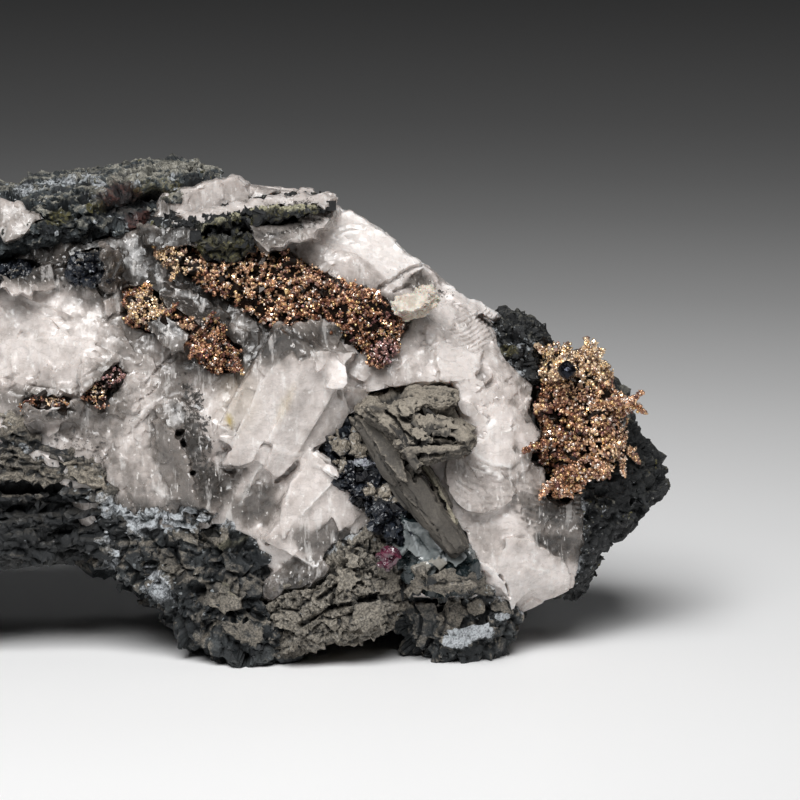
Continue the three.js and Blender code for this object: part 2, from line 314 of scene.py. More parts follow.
def scatter(coords, tris, count, rng):
    normals, area = faceNormals(coords, tris)
    pick = rng.choice(len(tris), count, p=area / area.sum())
    r, s = np.sqrt(rng.random(count)), rng.random(count)
    a, b, c = (coords[tris[pick, i]] for i in range(3))
    points = a * (1 - r)[:, None] + b * (r * (1 - s))[:, None] + c * (r * s)[:, None]
    return points, normals[pick]


def anyTurn(count, rng):
    # random rotations, evenly over all directions
    w, x, y, z = unit(rng.normal(size=(count, 4))).T
    rows = [
        1 - 2 * (y * y + z * z), 2 * (x * y - w * z), 2 * (x * z + w * y),
        2 * (x * y + w * z), 1 - 2 * (x * x + z * z), 2 * (y * z - w * x),
        2 * (x * z - w * y), 2 * (y * z + w * x), 1 - 2 * (x * x + y * y),
    ]
    return np.stack(rows, -1).reshape(-1, 3, 3)


def nudged(frames, degrees, rng):
    # each frame turned a little, by up to about that many degrees
    x, y, z = (rng.normal(size=(len(frames), 3)) * math.radians(degrees)).T
    one = np.ones(len(frames))
    turn = np.stack([one, -z, y, z, one, -x, -y, x, one], -1).reshape(-1, 3, 3)
    u, _, v = np.linalg.svd(turn @ frames)
    return u @ v


def flatOn(normals, rng):
    # frames whose third axis is the surface normal, spun at random about it
    first = unit(np.cross(normals, rng.normal(size=normals.shape)))
    return np.stack([first, np.cross(normals, first), normals], -1)


def hullShape(rng, corners):
    # a random convex stone about 1 across
    bm = bmesh.new()
    for point in rng.normal(size=(corners, 3)):
        point = point / np.linalg.norm(point) * 0.5 * rng.uniform(0.75, 1.0)
        bm.verts.new(point)
    made = bmesh.ops.convex_hull(bm, input=bm.verts)
    bmesh.ops.delete(bm, geom=list(set(made["geom_unused"] + made["geom_interior"])), context="VERTS")
    bmesh.ops.triangulate(bm, faces=bm.faces)
    bm.verts.ensure_lookup_table()
    bm.verts.index_update()
    coords = np.array([v.co[:] for v in bm.verts])
    tris = np.array([[v.index for v in f.verts] for f in bm.faces])
    bm.free()
    normals, _ = faceNormals(coords, tris)
    flip = np.einsum("ij,ij->i", normals, coords[tris].mean(1)) < 0
    tris[flip] = tris[flip][:, ::-1]
    return coords, tris


shapeRng = np.random.default_rng(5)
stones = [hullShape(shapeRng, 9) for _ in range(10)]
shards = [hullShape(shapeRng, 6) for _ in range(6)]
gem = (
    np.array([[1, 0, 0], [-1, 0, 0], [0, 1, 0], [0, -1, 0], [0, 0, 1], [0, 0, -1]], float) * 0.5,
    np.array([[0, 2, 4], [2, 1, 4], [1, 3, 4], [3, 0, 4], [2, 0, 5], [1, 2, 5], [3, 1, 5], [0, 3, 5]]),
)


def copies(shapes, places, frames, sizes, rng):
    # one solid for each place, as one mesh, with the number of the place that each vertex belongs to
    pick = rng.integers(0, len(shapes), len(places))
    parts, owners = [], []
    for number, (corners, tris) in enumerate(shapes):
        mine = np.where(pick == number)[0]
        if not len(mine):
            continue
        solid = corners[None] * sizes[mine][:, None, :]
        solid = np.einsum("nij,nkj->nki", frames[mine], solid) + places[mine][:, None, :]
        index = tris[None] + (np.arange(len(mine)) * len(corners))[:, None, None]
        parts.append((solid.reshape(-1, 3), index.reshape(-1, 3)))
        owners.append(np.repeat(mine, len(corners)))
    coords, tris = joined(parts)
    return coords, tris, np.concatenate(owners)


def joined(parts):
    coords, tris, start = [], [], 0
    for c, t in parts:
        coords.append(c)
        tris.append(t + start)
        start += len(c)
    return np.concatenate(coords), np.concatenate(tris)


def toMesh(name, coords, tris):
    mesh = bpy.data.meshes.new(name)
    mesh.vertices.add(len(coords))
    mesh.vertices.foreach_set("co", np.ascontiguousarray(coords, np.float32).ravel())
    mesh.loops.add(tris.size)
    mesh.loops.foreach_set("vertex_index", np.ascontiguousarray(tris, np.int32).ravel())
    mesh.polygons.add(len(tris))
    mesh.polygons.foreach_set("loop_start", np.arange(0, tris.size, tris.shape[1], dtype=np.int32))
    mesh.update(calc_edges=True)
    return mesh


def applied(mesh, kind, settings, groups=None):
    # the mesh after one modifier, with vertex groups by name as (weights per vertex)
    thing = bpy.data.objects.new("work", mesh)
    bpy.context.scene.collection.objects.link(thing)
    for name, levels in (groups or {}).items():
        group = thing.vertex_groups.new(name=name)
        for weight, members in levels:
            group.add(members, weight, "REPLACE")
    modifier = thing.modifiers.new("work", kind)
    for key, value in settings.items():
        setattr(modifier, key, value)
    depsgraph = bpy.context.evaluated_depsgraph_get()
    made = bpy.data.meshes.new_from_object(thing.evaluated_get(depsgraph))
    bpy.data.objects.remove(thing)
    return made


def meshPoints(mesh):
    return pulled(mesh.vertices, "co", 3), pulled(mesh.vertex_normals, "vector", 3)


def setPoints(mesh, coords):
    mesh.vertices.foreach_set("co", np.ascontiguousarray(coords, np.float32).ravel())
    mesh.update()


def paint(mesh, fields):
    # values for the finishes to read, one for each vertex
    for key, values in fields.items():
        layer = mesh.attributes.new(key, "FLOAT", "POINT")
        layer.data.foreach_set("value", np.ascontiguousarray(values, np.float32))


def voxelSkin(coords, tris, size):
    rough = toMesh("rough", coords, tris)
    mesh = applied(rough, "REMESH", {"mode": "VOXEL", "voxel_size": size, "adaptivity": 0.0})
    bpy.data.meshes.remove(rough)
    return mesh


def averaging(mesh):
    # a function that gives each vertex the mean of its neighbours' values
    a, b = pulled(mesh.edges, "vertices", 2, np.int32).T
    size = len(mesh.vertices)
    count = np.maximum(np.bincount(a, minlength=size) + np.bincount(b, minlength=size), 1)
    return lambda values: (np.bincount(a, values[b], size) + np.bincount(b, values[a], size)) / count


def bend(mesh, coords, normals):
    # how hollow (positive) or sharp (negative) the surface is at each vertex
    around = averaging(mesh)
    mean = np.stack([around(coords[:, i]) for i in range(3)], -1)
    hollow = np.einsum("ij,ij->i", mean - coords, normals)
    for _ in range(2):
        hollow = 0.5 * hollow + 0.5 * around(hollow)
    return hollow


# what lies in front of what

def solidTree(names):
    coords, tris = joined([nodeArrays(n) for n in names])
    return BVHTree.FromPolygons(coords.tolist(), tris.tolist())


wholeTree = solidTree(list(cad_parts.keys()))
treeOf = {name: solidTree([name]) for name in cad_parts.keys()}


def depthSeen(u, v, tree):
    ray = faceRay(u, v)
    return tree.ray_cast(Vector(showEye), Vector(ray))[3]


def openAir(points, normals, tree, reach=0.9):
    return np.array([tree.ray_cast(Vector(p), Vector(n), reach)[0] is None for p, n in zip(points, normals)])


def plateDepth(plate, tree, share):
    # the plane on which a traced face lies: its distance from the eye as (level, per u, per v, middle)
    edge = np.array(plate["edge"], float)
    middle = edge.mean(0)
    spots = np.concatenate([edge, (edge + middle) / 2, [middle]])
    tree = wholeTree if plate["over"] else tree
    depths = [depthSeen(u, v, tree) or depthSeen(u, v, wholeTree) for u, v in spots]
    seen = np.array([d if d else np.nan for d in depths])
    level = np.nanpercentile(seen, 30 if plate["over"] else 50)
    good = np.abs(seen - level) < samePlane
    rows = np.stack([np.ones(good.sum()), spots[good, 0] - middle[0], spots[good, 1] - middle[1]], -1)
    _, b, c = np.linalg.lstsq(rows, seen[good], rcond=None)[0]
    b, c = np.clip([b, c], -steepest, steepest)
    leanU, leanV = plate["lean"]
    lift = plate["lift"] * (1.0 if plate["over"] else share)
    return level - lift, b + leanU / 10, c + leanV / 10, middle


def plateSolid(plate, plane):
    level, b, c, middle = plane
    edge = np.array(plate["edge"], float)
    ring, back = [], []
    for u, v in edge:
        depth = level + b * (u - middle[0]) + c * (v - middle[1])
        ring.append(showEye + faceRay(u, v) * depth)
        u, v = middle + (np.array([u, v]) - middle) * plate["flare"]
        back.append(showEye + faceRay(u, v) * (depth + plate["thick"]))
    n = len(ring)
    first, last = (showEye + faceRay(*middle) * deep for deep in (level, level + plate["thick"]))
    coords = np.array([first] + ring + [last] + back)
    tris = []
    for i in range(n):
        j = (i + 1) % n
        tris += [[0, 1 + j, 1 + i], [n + 1, n + 2 + i, n + 2 + j]]
        tris += [[1 + i, 1 + j, n + 2 + j], [1 + i, n + 2 + j, n + 2 + i]]
    return coords, np.array(tris)


def raggedEdge(plate, wide, rng):
    # the traced outline, broken into small uneven steps
    wide = plate["ragged"] or (2.0 if plate["over"] else wide)
    points = []
    for (u0, v0), (u1, v1) in zip(plate["edge"], plate["edge"][1:] + plate["edge"][:1]):
        steps = max(1, int(math.hypot(u1 - u0, v1 - v0) / outlineStep))
        for share in np.arange(steps) / steps:
            u = u0 + (u1 - u0) * share + rng.normal() * wide
            points.append((u, v0 + (v1 - v0) * share + rng.normal() * wide))
    return {**plate, "edge": points}


def eulerFrames(turns):
    return np.array([Matrix.Rotation(math.radians(a), 3, "Z")
                     @ Matrix.Rotation(math.radians(b), 3, "Y")
                     @ Matrix.Rotation(math.radians(c), 3, "X") for a, b, c in turns])


def chips(points, normals, chip, rng):
    # broken blocks that stand half out of a surface, laid in one of the directions in chip["lay"]
    count = len(points)
    if "lay" in chip:
        lays = eulerFrames(chip["lay"])
        _, _, number, _ = cracked(points, 9.0, 3)
        pick = (number * 7919).astype(int) % len(lays)
        frames = nudged(lays[pick], chip["jitter"], rng)
    elif "flat" in chip:
        frames = nudged(flatOn(normals, rng), chip["jitter"], rng)
    else:
        frames = anyTurn(count, rng)
    scale = rng.uniform(0, 1, count) ** chip["power"]
    scale = chip["size"][0] + (chip["size"][1] - chip["size"][0]) * scale
    sizes = scale[:, None] * np.array(chip["shape"]) * rng.uniform(0.7, 1.3, (count, 3))
    middle = points - normals * (scale * chip["sink"])[:, None]
    return copies(shards if chip.get("shards") else stones, middle, frames, sizes, rng)


def mayCarry(p, n, chip, tree, rng):
    # the places that may carry a chip: in the open, and where its patches say
    keep = openAir(p, n, tree)
    if "where" in chip:
        keep &= (patches(faceUV(p), chip["where"]) > rng.random(len(p))) & (n[:, 1] < 0.3)
    return keep


def zoneValues(s, p, uv, n):
    total = np.full(len(p), s["level"], np.float32)
    ragged = uv + s["ragged"] * np.stack([cloudy(p, 1.1, 61), cloudy(p, 1.1, 62)], -1)
    facing = smoothStep(0.75, 0.2, n[:, 1])
    if s["spots"]:
        total = np.maximum(total, patches(ragged, s["spots"]) * facing)
    return total + s["cloud"] * cloudy(p, s["cloudSize"], 7)


# what a piece is unless its own settings say otherwise
pieceDefaults = {
    "swell": 0.2, "tone": 0.5, "ragged": 0.8, "plateLift": 1.0, "dustUp": 0.4, "blend": 0, "zones": {},
    "chips": [], "plates": [], "fragments": [], "clouds": [], "pits": [], "beds": [], "ribs": [],
    "holes": [], "cracks": [], "rims": [], "grains": [],
}


def roughBody(s, others, rng):
    # the frame's solids with chips and traced faces on them, under one skin, and the faces with their planes
    solid = [nodeArrays(node) for node in s["nodes"]]
    if "flatten" in s:
        # a thinner layer, kept at its top
        for c, _ in solid:
            c[:, 2] = c[:, 2].max() - (c[:, 2].max() - c[:, 2]) * s["flatten"]
    parts = [(swollen(c, t, s["swell"]), t) for c, t in solid]
    coords, tris = joined(solid)
    for chip in s["chips"]:
        points, normals = scatter(coords, tris, chip["count"], rng)
        keep = mayCarry(points, normals, chip, others, rng)
        parts.append(chips(points[keep], normals[keep], chip, rng)[:2])
    own = treeOf[s["nodes"][0]]
    planes = [plateDepth(plate, own, s["plateLift"]) for plate in s["plates"]]
    plates = [raggedEdge(plate, s["ragged"], rng) for plate in s["plates"]]
    parts += [plateSolid(plate, plane) for plate, plane in zip(plates, planes)]
    mesh = voxelSkin(*joined(parts), s["voxel"])
    if "soften" in s:
        mesh = applied(mesh, "SMOOTH", {"factor": 0.5, "iterations": s["soften"]})
    return mesh, plates, planes


def plateMarks(s, p, uv, facing, plates, planes):
    # what the traced faces paint on the skin where it lies in their planes
    deep = np.linalg.norm(p - showEye, axis=1)
    tone = np.full(len(p), s["tone"], np.float32)
    calm = np.zeros(len(p), np.float32)
    marks = {key: np.zeros(len(p), np.float32) for key in ("dust", "crust", "olive", "snow")}
    for plate, (start, b, c, middle) in zip(plates, planes):
        plateDeep = start + b * (uv[:, 0] - middle[0]) + c * (uv[:, 1] - middle[1])
        mine = facing & (np.abs(deep - plateDeep) < planeReach) & within(uv, plate["edge"])
        tone[mine], calm[mine] = plate["tone"], plate["calm"]
        for key, level in plate["paint"].items():
            marks[key][mine] = level
    return tone, 1 - calm, marks


def relief(s, p, uv, facing, tone, loose):
    # how far the skin stands out, with its tone, the painted shade in its dents and cracks and the painted
    # highlights on its seams
    rise = np.zeros(len(p), np.float32)
    for number, kind in enumerate(s["fragments"]):
        lift, which = fragments(p, kind, s["seed"] * 10 + number)
        share = patches(uv, kind["spots"]) * facing if "spots" in kind else 1.0
        rise += lift * share * loose
        tone += kind["tones"] * share * (np.modf(which * 91.7)[0] - 0.5) * (0.5 + 0.5 * loose)
    for number, (size, height) in enumerate(s["clouds"]):
        rise += height * cloudy(p, size, s["seed"] * 20 + number, 4) * (0.1 + 0.9 * loose)
    for number, (size, depth) in enumerate(s["pits"]):
        near, _, which, _ = cracked(p, size, s["seed"] * 30 + number)
        rise -= depth * (1 - smoothStep(0.15, 0.5, near)) * (which > 0.45) * loose
    for bed in s["beds"]:
        rise += bedding(p, bed) * loose
    for rib in s["ribs"]:
        along, across = localAxes(uv, rib)
        phase = (across + rib["bow"] * along ** 2) / rib["pitch"] + rib["wobble"] * cloudy(p, 2.0, 9)
        saw = phase - np.floor(phase)
        share = patch(uv, rib) * facing * (0.45 + 0.55 * smoothStep(-0.3, 0.3, cloudy(p, 1.6, 19)))
        step = np.minimum(saw * 1.3, (1 - saw) * 4.3) - 0.5
        rise = rise * (1 - 0.7 * share) + share * rib["height"] * step
        tone += share * rib["tones"] * (saw - 0.5)
    dark, bright = (np.zeros(len(p), np.float32) for _ in range(2))
    for hole in s["holes"]:
        share = patch(uv + 3.5 * cloudy(p, 0.9, 13)[:, None], hole) * facing
        rise -= hole["depth"] * share
        dark = np.maximum(dark, share * hole["dark"])
    for crack in s["cracks"]:
        ragged = uv + 1.5 * np.stack([cloudy(p, 0.5, 14), cloudy(p, 0.5, 15)], -1)
        away = nearPath(ragged, crack["path"])
        share = (1 - smoothStep(crack["width"] * 0.4, crack["width"], away)) * facing
        rise -= crack["depth"] * share
        dark = np.maximum(dark, share * crack["dark"])
    for rim in s["rims"]:
        share = (1 - smoothStep(rim["width"] * 0.5, rim["width"], nearPath(uv, rim["path"]))) * facing
        rise += rim["height"] * share
        bright = np.maximum(bright, share * rim["bright"])
    return rise, tone, dark, bright


def fewer(mesh, p, n, budget):
    # down to the budget, mostly where the show face doesn't reach
    count = len(meshTris(mesh))
    if count <= budget:
        return mesh
    hid = (p[:, 1] > 5.0) | (n[:, 1] > 0.5) | (n[:, 2] < -0.8)
    levels = [(1.0, np.where(hid)[0].tolist()), (0.1, np.where(~hid)[0].tolist())]
    settings = {"ratio": budget / count, "vertex_group": "behind", "vertex_group_factor": 1.0}
    return applied(mesh, "DECIMATE", settings, {"behind": levels})


def grow(name, s, finish):
    # a rock, crystal or filling from its settings: body, relief, painted values and loose grains
    s = {**pieceDefaults, **s}
    rng = np.random.default_rng(s["seed"])
    others = solidTree([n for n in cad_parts.keys() if n not in s["nodes"]])
    mesh, plates, planes = roughBody(s, others, rng)
    p, n = meshPoints(mesh)
    uv = faceUV(p)
    facing = (n @ showAxes[2]) < -0.08
    tone, loose, marks = plateMarks(s, p, uv, facing, plates, planes)
    around = averaging(mesh)
    for _ in range(s["blend"]):
        tone, loose = 0.4 * tone + 0.6 * around(tone), 0.4 * loose + 0.6 * around(loose)
    rise, tone, dark, bright = relief(s, p, uv, facing, tone, loose)
    setPoints(mesh, np.clip(p + n * rise[:, None], boxLow, boxHigh))
    p, n = meshPoints(mesh)
    uv = faceUV(p)
    hollow = bend(mesh, p, n) / (s["voxel"] * 0.22)
    # hollow is painted shade in hollows, dents and cracks; bright is painted highlight on the seams, and
    # white where a face is marked snow
    fields = {"tone": tone, "hollow": np.maximum(np.clip(hollow, 0, 1), dark),
              "bright": np.maximum(bright, marks["snow"])}
    for key in ("dust", "crust", "olive", "grime", "stain", "dim"):
        values = zoneValues(s["zones"][key], p, uv, n) if key in s["zones"] else np.zeros(len(p), np.float32)
        if key == "dim":
            values = values * (0.35 + 0.65 * loose)
        if key in marks:
            values = np.where(marks[key] > 0, marks[key], values)
        if key == "dust":
            # the dust colour is laid more thickly on faces turned up; the bend term puts more on sharp edges
            # and less in hollows, a painted edge highlight and painted shade
            values = values + s["dustUp"] * n[:, 2] * loose + 0.3 * np.clip(-hollow, -1, 1)
        fields[key] = values
    if "near" in s:
        close = nearness(p, n, darkTree, 4.0)
        fields["grime"] = np.maximum(fields["grime"], 0.85 * np.exp(-close / 0.55))
        fields["dim"] = fields["dim"] + s["near"] * np.exp(-close / 1.2) * (0.3 + 0.7 * loose)
    elif "calciteDust" in s:
        fields["crust"] = fields["crust"] + s["calciteDust"] * np.exp(-nearness(p, n, veinTree, 2.0) / 0.6)
    paint(mesh, fields)
    mesh = withGrains(fewer(mesh, p, n, s["budget"]), s, others, rng)
    mesh.polygons.foreach_set("use_smooth", np.full(len(mesh.polygons), "smooth" in s))
    if "smooth" in s:
        mesh.set_sharp_from_angle(angle=math.radians(s["smooth"]))
    return place(name, mesh, s["nodes"], finish)


def withGrains(mesh, s, others, rng):
    # crisp loose grains on the finished skin; they keep its painted values, each shifted a little
    if not s["grains"]:
        return mesh
    p, n = meshPoints(mesh)
    tris = meshTris(mesh)
    keys = [a.name for a in mesh.attributes if a.data_type == "FLOAT"]
    values = {key: pulled(mesh.attributes[key].data, "value", 1)[:, 0] for key in keys}
    coords, allTris = [p], [tris]
    start = len(p)
    for grain in s["grains"]:
        _, area = faceNormals(p, tris)
        area = area * (np.clip(frontDepth - p[tris[:, 0], 1], 1.5, 12) ** 0.8)
        chosen = rng.choice(len(tris), grain["count"], p=area / area.sum())
        owner = tris[chosen, 0]
        points, facing = p[owner], n[owner]
        keep = mayCarry(points, facing, grain, others, rng)
        if "contact" in grain:
            keep &= nearness(points, facing, contactTrees[grain["contact"]], 2.0) < grain["reach"]
        points, facing, owner = points[keep], facing[keep], owner[keep]
        if not len(points):
            continue
        c, t, whose = chips(points, facing, grain, rng)
        c = np.clip(c, boxLow, boxHigh)
        coords.append(c)
        allTris.append(t + start)
        start += len(c)
        shift = {key: rng.normal(size=len(points)) for key in keys}
        for key in keys:
            own = values[key][owner] + shift[key] * grain["vary"].get(key, 0.0)
            own = own + grain.get("add", {}).get(key, 0.0)
            values[key] = np.concatenate([values[key], own[whose]])
    made = toMesh("made", np.concatenate(coords), np.concatenate(allTris))
    paint(made, values)
    bpy.data.meshes.remove(mesh)
    return made


def bedding(p, bed):
    # ledges of thin layers: the surface steps out and in along the direction across the beds
    across = np.array(bed["across"], float)
    across /= np.linalg.norm(across)
    level = (p @ across + bed["wave"] * cloudy(p, 6.0, bed["seed"])) / bed["thick"]
    layer = np.floor(level)
    inLayer = level - layer
    cells = np.stack([layer, layer * 0, layer * 0], -1).astype(np.int32).astype(np.uint32)
    step = hashed(cells, bed["seed"]) - 0.5
    groove = 1 - smoothStep(0.0, 0.25, np.minimum(inLayer, 1 - inLayer))
    return (bed["step"] * step - bed["groove"] * groove).astype(np.float32)


darkNodes = [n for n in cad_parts.keys() if n.startswith(("wall_rock", "sulphide", "silver"))]
darkTree = solidTree(darkNodes)
veinTree = solidTree(["calcite_vein"])
contactTrees = {"dark": darkTree, "calcite": veinTree}


def nearness(p, n, tree, reach):
    # how far each point of the show face lies from some other solids
    near = np.full(len(p), farAway, np.float32)
    for i in np.where((n[:, 1] < 0.4) & (p[:, 1] < frontDepth))[0]:
        distance = tree.find_nearest(Vector(p[i]), reach)[3]
        near[i] = farAway if distance is None else distance
    return near


def place(name, mesh, nodes, finish):
    mesh.transform(Matrix.Scale(mm, 4))
    mesh.materials.clear()
    mesh.materials.append(finish)
    piece = bpy.data.objects.new(name, mesh)
    bpy.context.scene.collection.objects.link(piece)
    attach(piece, "root")
    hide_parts(*nodes)
    report(f"{name}: {len(meshTris(mesh))} triangles")
    return piece


# shader sums

class Wire:
    # a shader socket that Python can do sums with
    def __init__(self, finish, socket):
        self.finish, self.socket = finish, socket

    def sum(self, operation, *values, clamp=False):
        settings = {"operation": operation, "use_clamp": clamp}
        return self.finish.add("ShaderNodeMath", settings, dict(enumerate(values)))

    def __add__(self, other):
        return self.sum("ADD", self, other)

    def __radd__(self, other):
        return self.sum("ADD", other, self)

    def __sub__(self, other):
        return self.sum("SUBTRACT", self, other)

    def __rsub__(self, other):
        return self.sum("SUBTRACT", other, self)

    def __mul__(self, other):
        return self.sum("MULTIPLY", self, other)

    def __rmul__(self, other):
        return self.sum("MULTIPLY", other, self)

    def held(self):
        return self.sum("ADD", self, 0.0, clamp=True)


class Finish:
    # one material, and the one way in which its nodes are made
    def __init__(self, name):
        self.material = bpy.data.materials.new(name)
        self.material.use_nodes = True
        self.tree = self.material.node_tree
        self.tree.nodes.clear()
        self.where = self.add("ShaderNodeTexCoord", {}, {}, "Object")

    def add(self, kind, settings, inputs, out=0):
        node = self.tree.nodes.new(kind)
        for key, value in settings.items():
            if key == "stops":
                self.setStops(node.color_ramp, value)
            else:
                setattr(node, key, value)
        for key, value in inputs.items():
            if isinstance(value, Wire):
                self.tree.links.new(value.socket, node.inputs[key])
            else:
                node.inputs[key].default_value = value
        return Wire(self, node.outputs[out]) if len(node.outputs) else node

    def setStops(self, ramp, stops):
        while len(ramp.elements) < len(stops):
            ramp.elements.new(1.0)
        for element, (position, level) in zip(ramp.elements, stops):
            element.position = position
            element.color = (level, level, level, 1)

    def vector(self, operation, inputs, out=0):
        return self.add("ShaderNodeVectorMath", {"operation": operation}, inputs, out)

    def noise(self, size, detail=4.0, rough=0.55, stretch=None):
        # cloudy values from about 0 to 1, with lumps of that size in mm
        where = self.vector("MULTIPLY", {0: self.where, 1: stretch}) if stretch else self.where
        values = {"Vector": where, "Scale": 1 / (size * mm), "Detail": detail, "Roughness": rough}
        return self.add("ShaderNodeTexNoise", {"noise_dimensions": "3D"}, values)

    def cells(self, size):
        # random values, one for each small cell
        values = {"Vector": self.where, "Scale": 1 / (size * mm)}
        return self.add("ShaderNodeTexVoronoi", {"feature": "F1"}, values, "Color")

    def painted(self, name):
        return self.add("ShaderNodeAttribute", {"attribute_name": name}, {}, "Fac")

    def band(self, value, low, high):
        # 0 below low, 1 above high
        settings = {"interpolation_type": "SMOOTHSTEP", "clamp": True}
        return self.add("ShaderNodeMapRange", settings, {0: value, 1: low, 2: high})

    def mix(self, share, first, second):
        settings = {"data_type": "RGBA", "blend_type": "MIX", "clamp_factor": True}
        return self.add("ShaderNodeMix", settings, {0: share, 6: colour(first), 7: colour(second)}, 2)

    def bump(self, height, depth, normal=None, strength=1.0):
        inputs = {"Height": height, "Distance": depth * mm, "Strength": strength}
        if normal is not None:
            inputs["Normal"] = normal
        return self.add("ShaderNodeBump", {}, inputs)

    def glitter(self, size, amount, normal):
        # a random lean of the normal for each small cell, as of tiny flat cleavage faces
        lean = self.vector("SUBTRACT", {0: self.cells(size), 1: (0.5, 0.5, 0.5)})
        lean = self.vector("SCALE", {0: lean, "Scale": amount})
        return self.vector("NORMALIZE", {0: self.vector("ADD", {0: normal, 1: lean})})

    def surface(self, inputs):
        return self.add("ShaderNodeBsdfPrincipled", {}, inputs)

    def close(self, shader):
        self.add("ShaderNodeOutputMaterial", {}, {"Surface": shader})
        return self.material


def colour(value):
    return (*value, 1) if isinstance(value, tuple) and len(value) == 3 else value


# snow is the white of streaks, of painted glints and of painted highlights; hollow is the colour of painted
# shade in hollows and cracks
calciteLook = {
    "bright": (0.73, 0.672, 0.64), "body": (0.49, 0.44, 0.412), "clear": (0.175, 0.155, 0.14),
    "dark": (0.045, 0.040, 0.036), "grime": (0.045, 0.041, 0.038), "stain": (0.42, 0.31, 0.06),
    "snow": (0.85, 0.82, 0.795), "hollow": (0.10, 0.085, 0.075),
}


def calciteFinish():
    look, f = calciteLook, Finish("calcite")
    drift, fine = f.noise(3.0, 5.0), f.noise(0.6, 6.0, 0.65)
    milk = f.noise(1.1, 4.0, 0.6)
    grain = f.noise(0.9, 3.0, 0.6, (1.0, 0.6, 0.35))
    tone = f.painted("tone") * 0.8 + 0.12 + (drift - 0.5) * 0.9 + (milk - 0.5) * 0.75 + (grain - 0.5) * 0.3
    # dim greys calcite that is clear over dark rock, and carries painted shade under the silver band and
    # along the lens
    tone = tone + (fine - 0.5) * 0.3 - f.painted("dim")
    body = f.mix(f.band(tone, -0.55, 0.0), look["dark"], look["clear"])
    body = f.mix(f.band(tone, -0.05, 0.55), body, look["body"])
    body = f.mix(f.band(tone, 0.4, 1.0), body, look["bright"])
    streak = f.noise(0.9, 4.0, 0.7, (1.0, 0.5, 0.22))
    body = f.mix(f.band(streak, 0.54, 0.66) * 0.4, body, look["snow"])
    # painted glints: small white specks where cleavage faces would catch the light
    sparkle = f.band(f.noise(0.34, 2.0, 0.5, (1.0, 1.0, 0.55)) + (milk - 0.5) * 0.5, 0.66, 0.72)
    body = f.mix(sparkle * 0.7, body, look["snow"])
    line = f.noise(1.0, 3.0, 0.6, (0.35, 1.0, 1.0))
    body = f.mix(f.band(line, 0.5, 0.53) * f.band(line, 0.56, 0.53) * 0.2, body, look["clear"])
    body = f.mix(f.painted("stain"), body, look["stain"])
    # painted highlights on the seams and shards, and white where a face is marked snow
    body = f.mix(f.painted("bright") * f.band(fine, 0.25, 0.5) * 0.8, body, look["snow"])
    specks = f.band(f.noise(0.4, 5.0, 0.72) + f.painted("grime") * 0.36, 0.73, 0.81)
    body = f.mix(specks, body, look["grime"])
    # painted shade in hollows, dents and cracks
    body = f.mix(f.band(f.painted("hollow"), 0.3, 1.0) * 0.5, body, look["hollow"])
    normal = f.bump(f.noise(0.4, 4.0, 0.6), 0.03, strength=0.3)
    normal = f.bump(streak, 0.06, normal, 0.4)
    normal = f.glitter(0.4, 0.16, normal)
    rough = f.band(f.noise(0.5, 2.0), 0.3, 0.8) * 0.3 + 0.2
    return f.close(f.surface({
        "Base Color": body, "Roughness": rough, "Normal": normal, "IOR": 1.6,
        "Subsurface Weight": 0.35, "Subsurface Radius": (1.0, 0.84, 0.74), "Subsurface Scale": 1.3 * mm,
    }))


# deep is near black: for grit, for the overall darkening and for painted shade in hollows, dents and cracks;
# rim is the painted highlight on seams; the pale specks with spark are painted glints
rockLook = {
    "dark": (0.012, 0.016, 0.019), "mid": (0.060, 0.068, 0.070), "deep": (0.004, 0.005, 0.006),
    "dust": (0.30, 0.265, 0.215), "dustLow": (0.14, 0.125, 0.105), "dustLevel": 0.62,
    "crust": (0.60, 0.63, 0.66), "olive": (0.13, 0.115, 0.035), "stain": (0.10, 0.034, 0.026),
    "rim": (0.66, 0.62, 0.42), "flake": (0.46, 0.50, 0.52), "spark": 0.5, "grit": 0.62, "shade": 0.2,
    "rough": 0.7, "gloss": 0.4, "bump": 0.8, "glitter": 0.18,
}


def rockFinish(name, **changes):
    look, f = {**rockLook, **changes}, Finish(name)
    patchy, fine = f.noise(2.2, 6.0, 0.6), f.noise(0.4, 5.0, 0.65)
    tone = f.painted("tone")
    body = f.mix(f.band(tone * 0.7 + patchy * 0.6, 0.3, 0.95), look["dark"], look["mid"])
    dusty = f.painted("dust") + fine * 0.45 + patchy * 0.3 - look["dustLevel"]
    dustTint = f.mix(f.band(fine * 0.6 + tone * 0.5, 0.3, 0.8), look["dustLow"], look["dust"])
    body = f.mix(f.band(dusty, 0.0, 0.35), body, dustTint)
    crusty = f.painted("crust") + fine * 0.6 + f.noise(1.1, 4.0) * 0.4 - 0.85
    body = f.mix(f.band(crusty, 0.0, 0.3), body, look["crust"])
    for key in ("olive", "stain"):
        body = f.mix(f.band(f.painted(key) + fine * 0.8 - 0.75, 0.0, 0.35), body, look[key])
    # painted highlight on the seams
    body = f.mix(f.painted("bright"), body, look["rim"])
    # painted shade in hollows, dents and cracks
    body = f.mix(f.band(f.painted("hollow"), 0.1, 0.9) * 0.85, body, look["deep"])
    grit = f.noise(0.2, 3.0, 0.7)
    body = f.mix(f.band(grit, 0.38, 0.62), f.mix(look["grit"], body, look["deep"]), body)
    body = f.mix(look["shade"], body, look["deep"])
    # painted glints: small pale specks, more of them on crust
    flake = f.band(f.cells(0.28) + f.painted("crust") * 0.3, 0.93, 0.99)
    body = f.mix(flake * look["spark"], body, look["flake"])
    rough = look["rough"] - f.band(f.cells(0.35), 0.72, 0.8) * look["gloss"]
    normal = f.bump(f.noise(0.22, 5.0, 0.7), 0.10, strength=look["bump"])
    normal = f.glitter(0.3, look["glitter"], normal)
    return f.close(f.surface({"Base Color": body, "Roughness": rough.held(), "Normal": normal, "IOR": 1.52}))


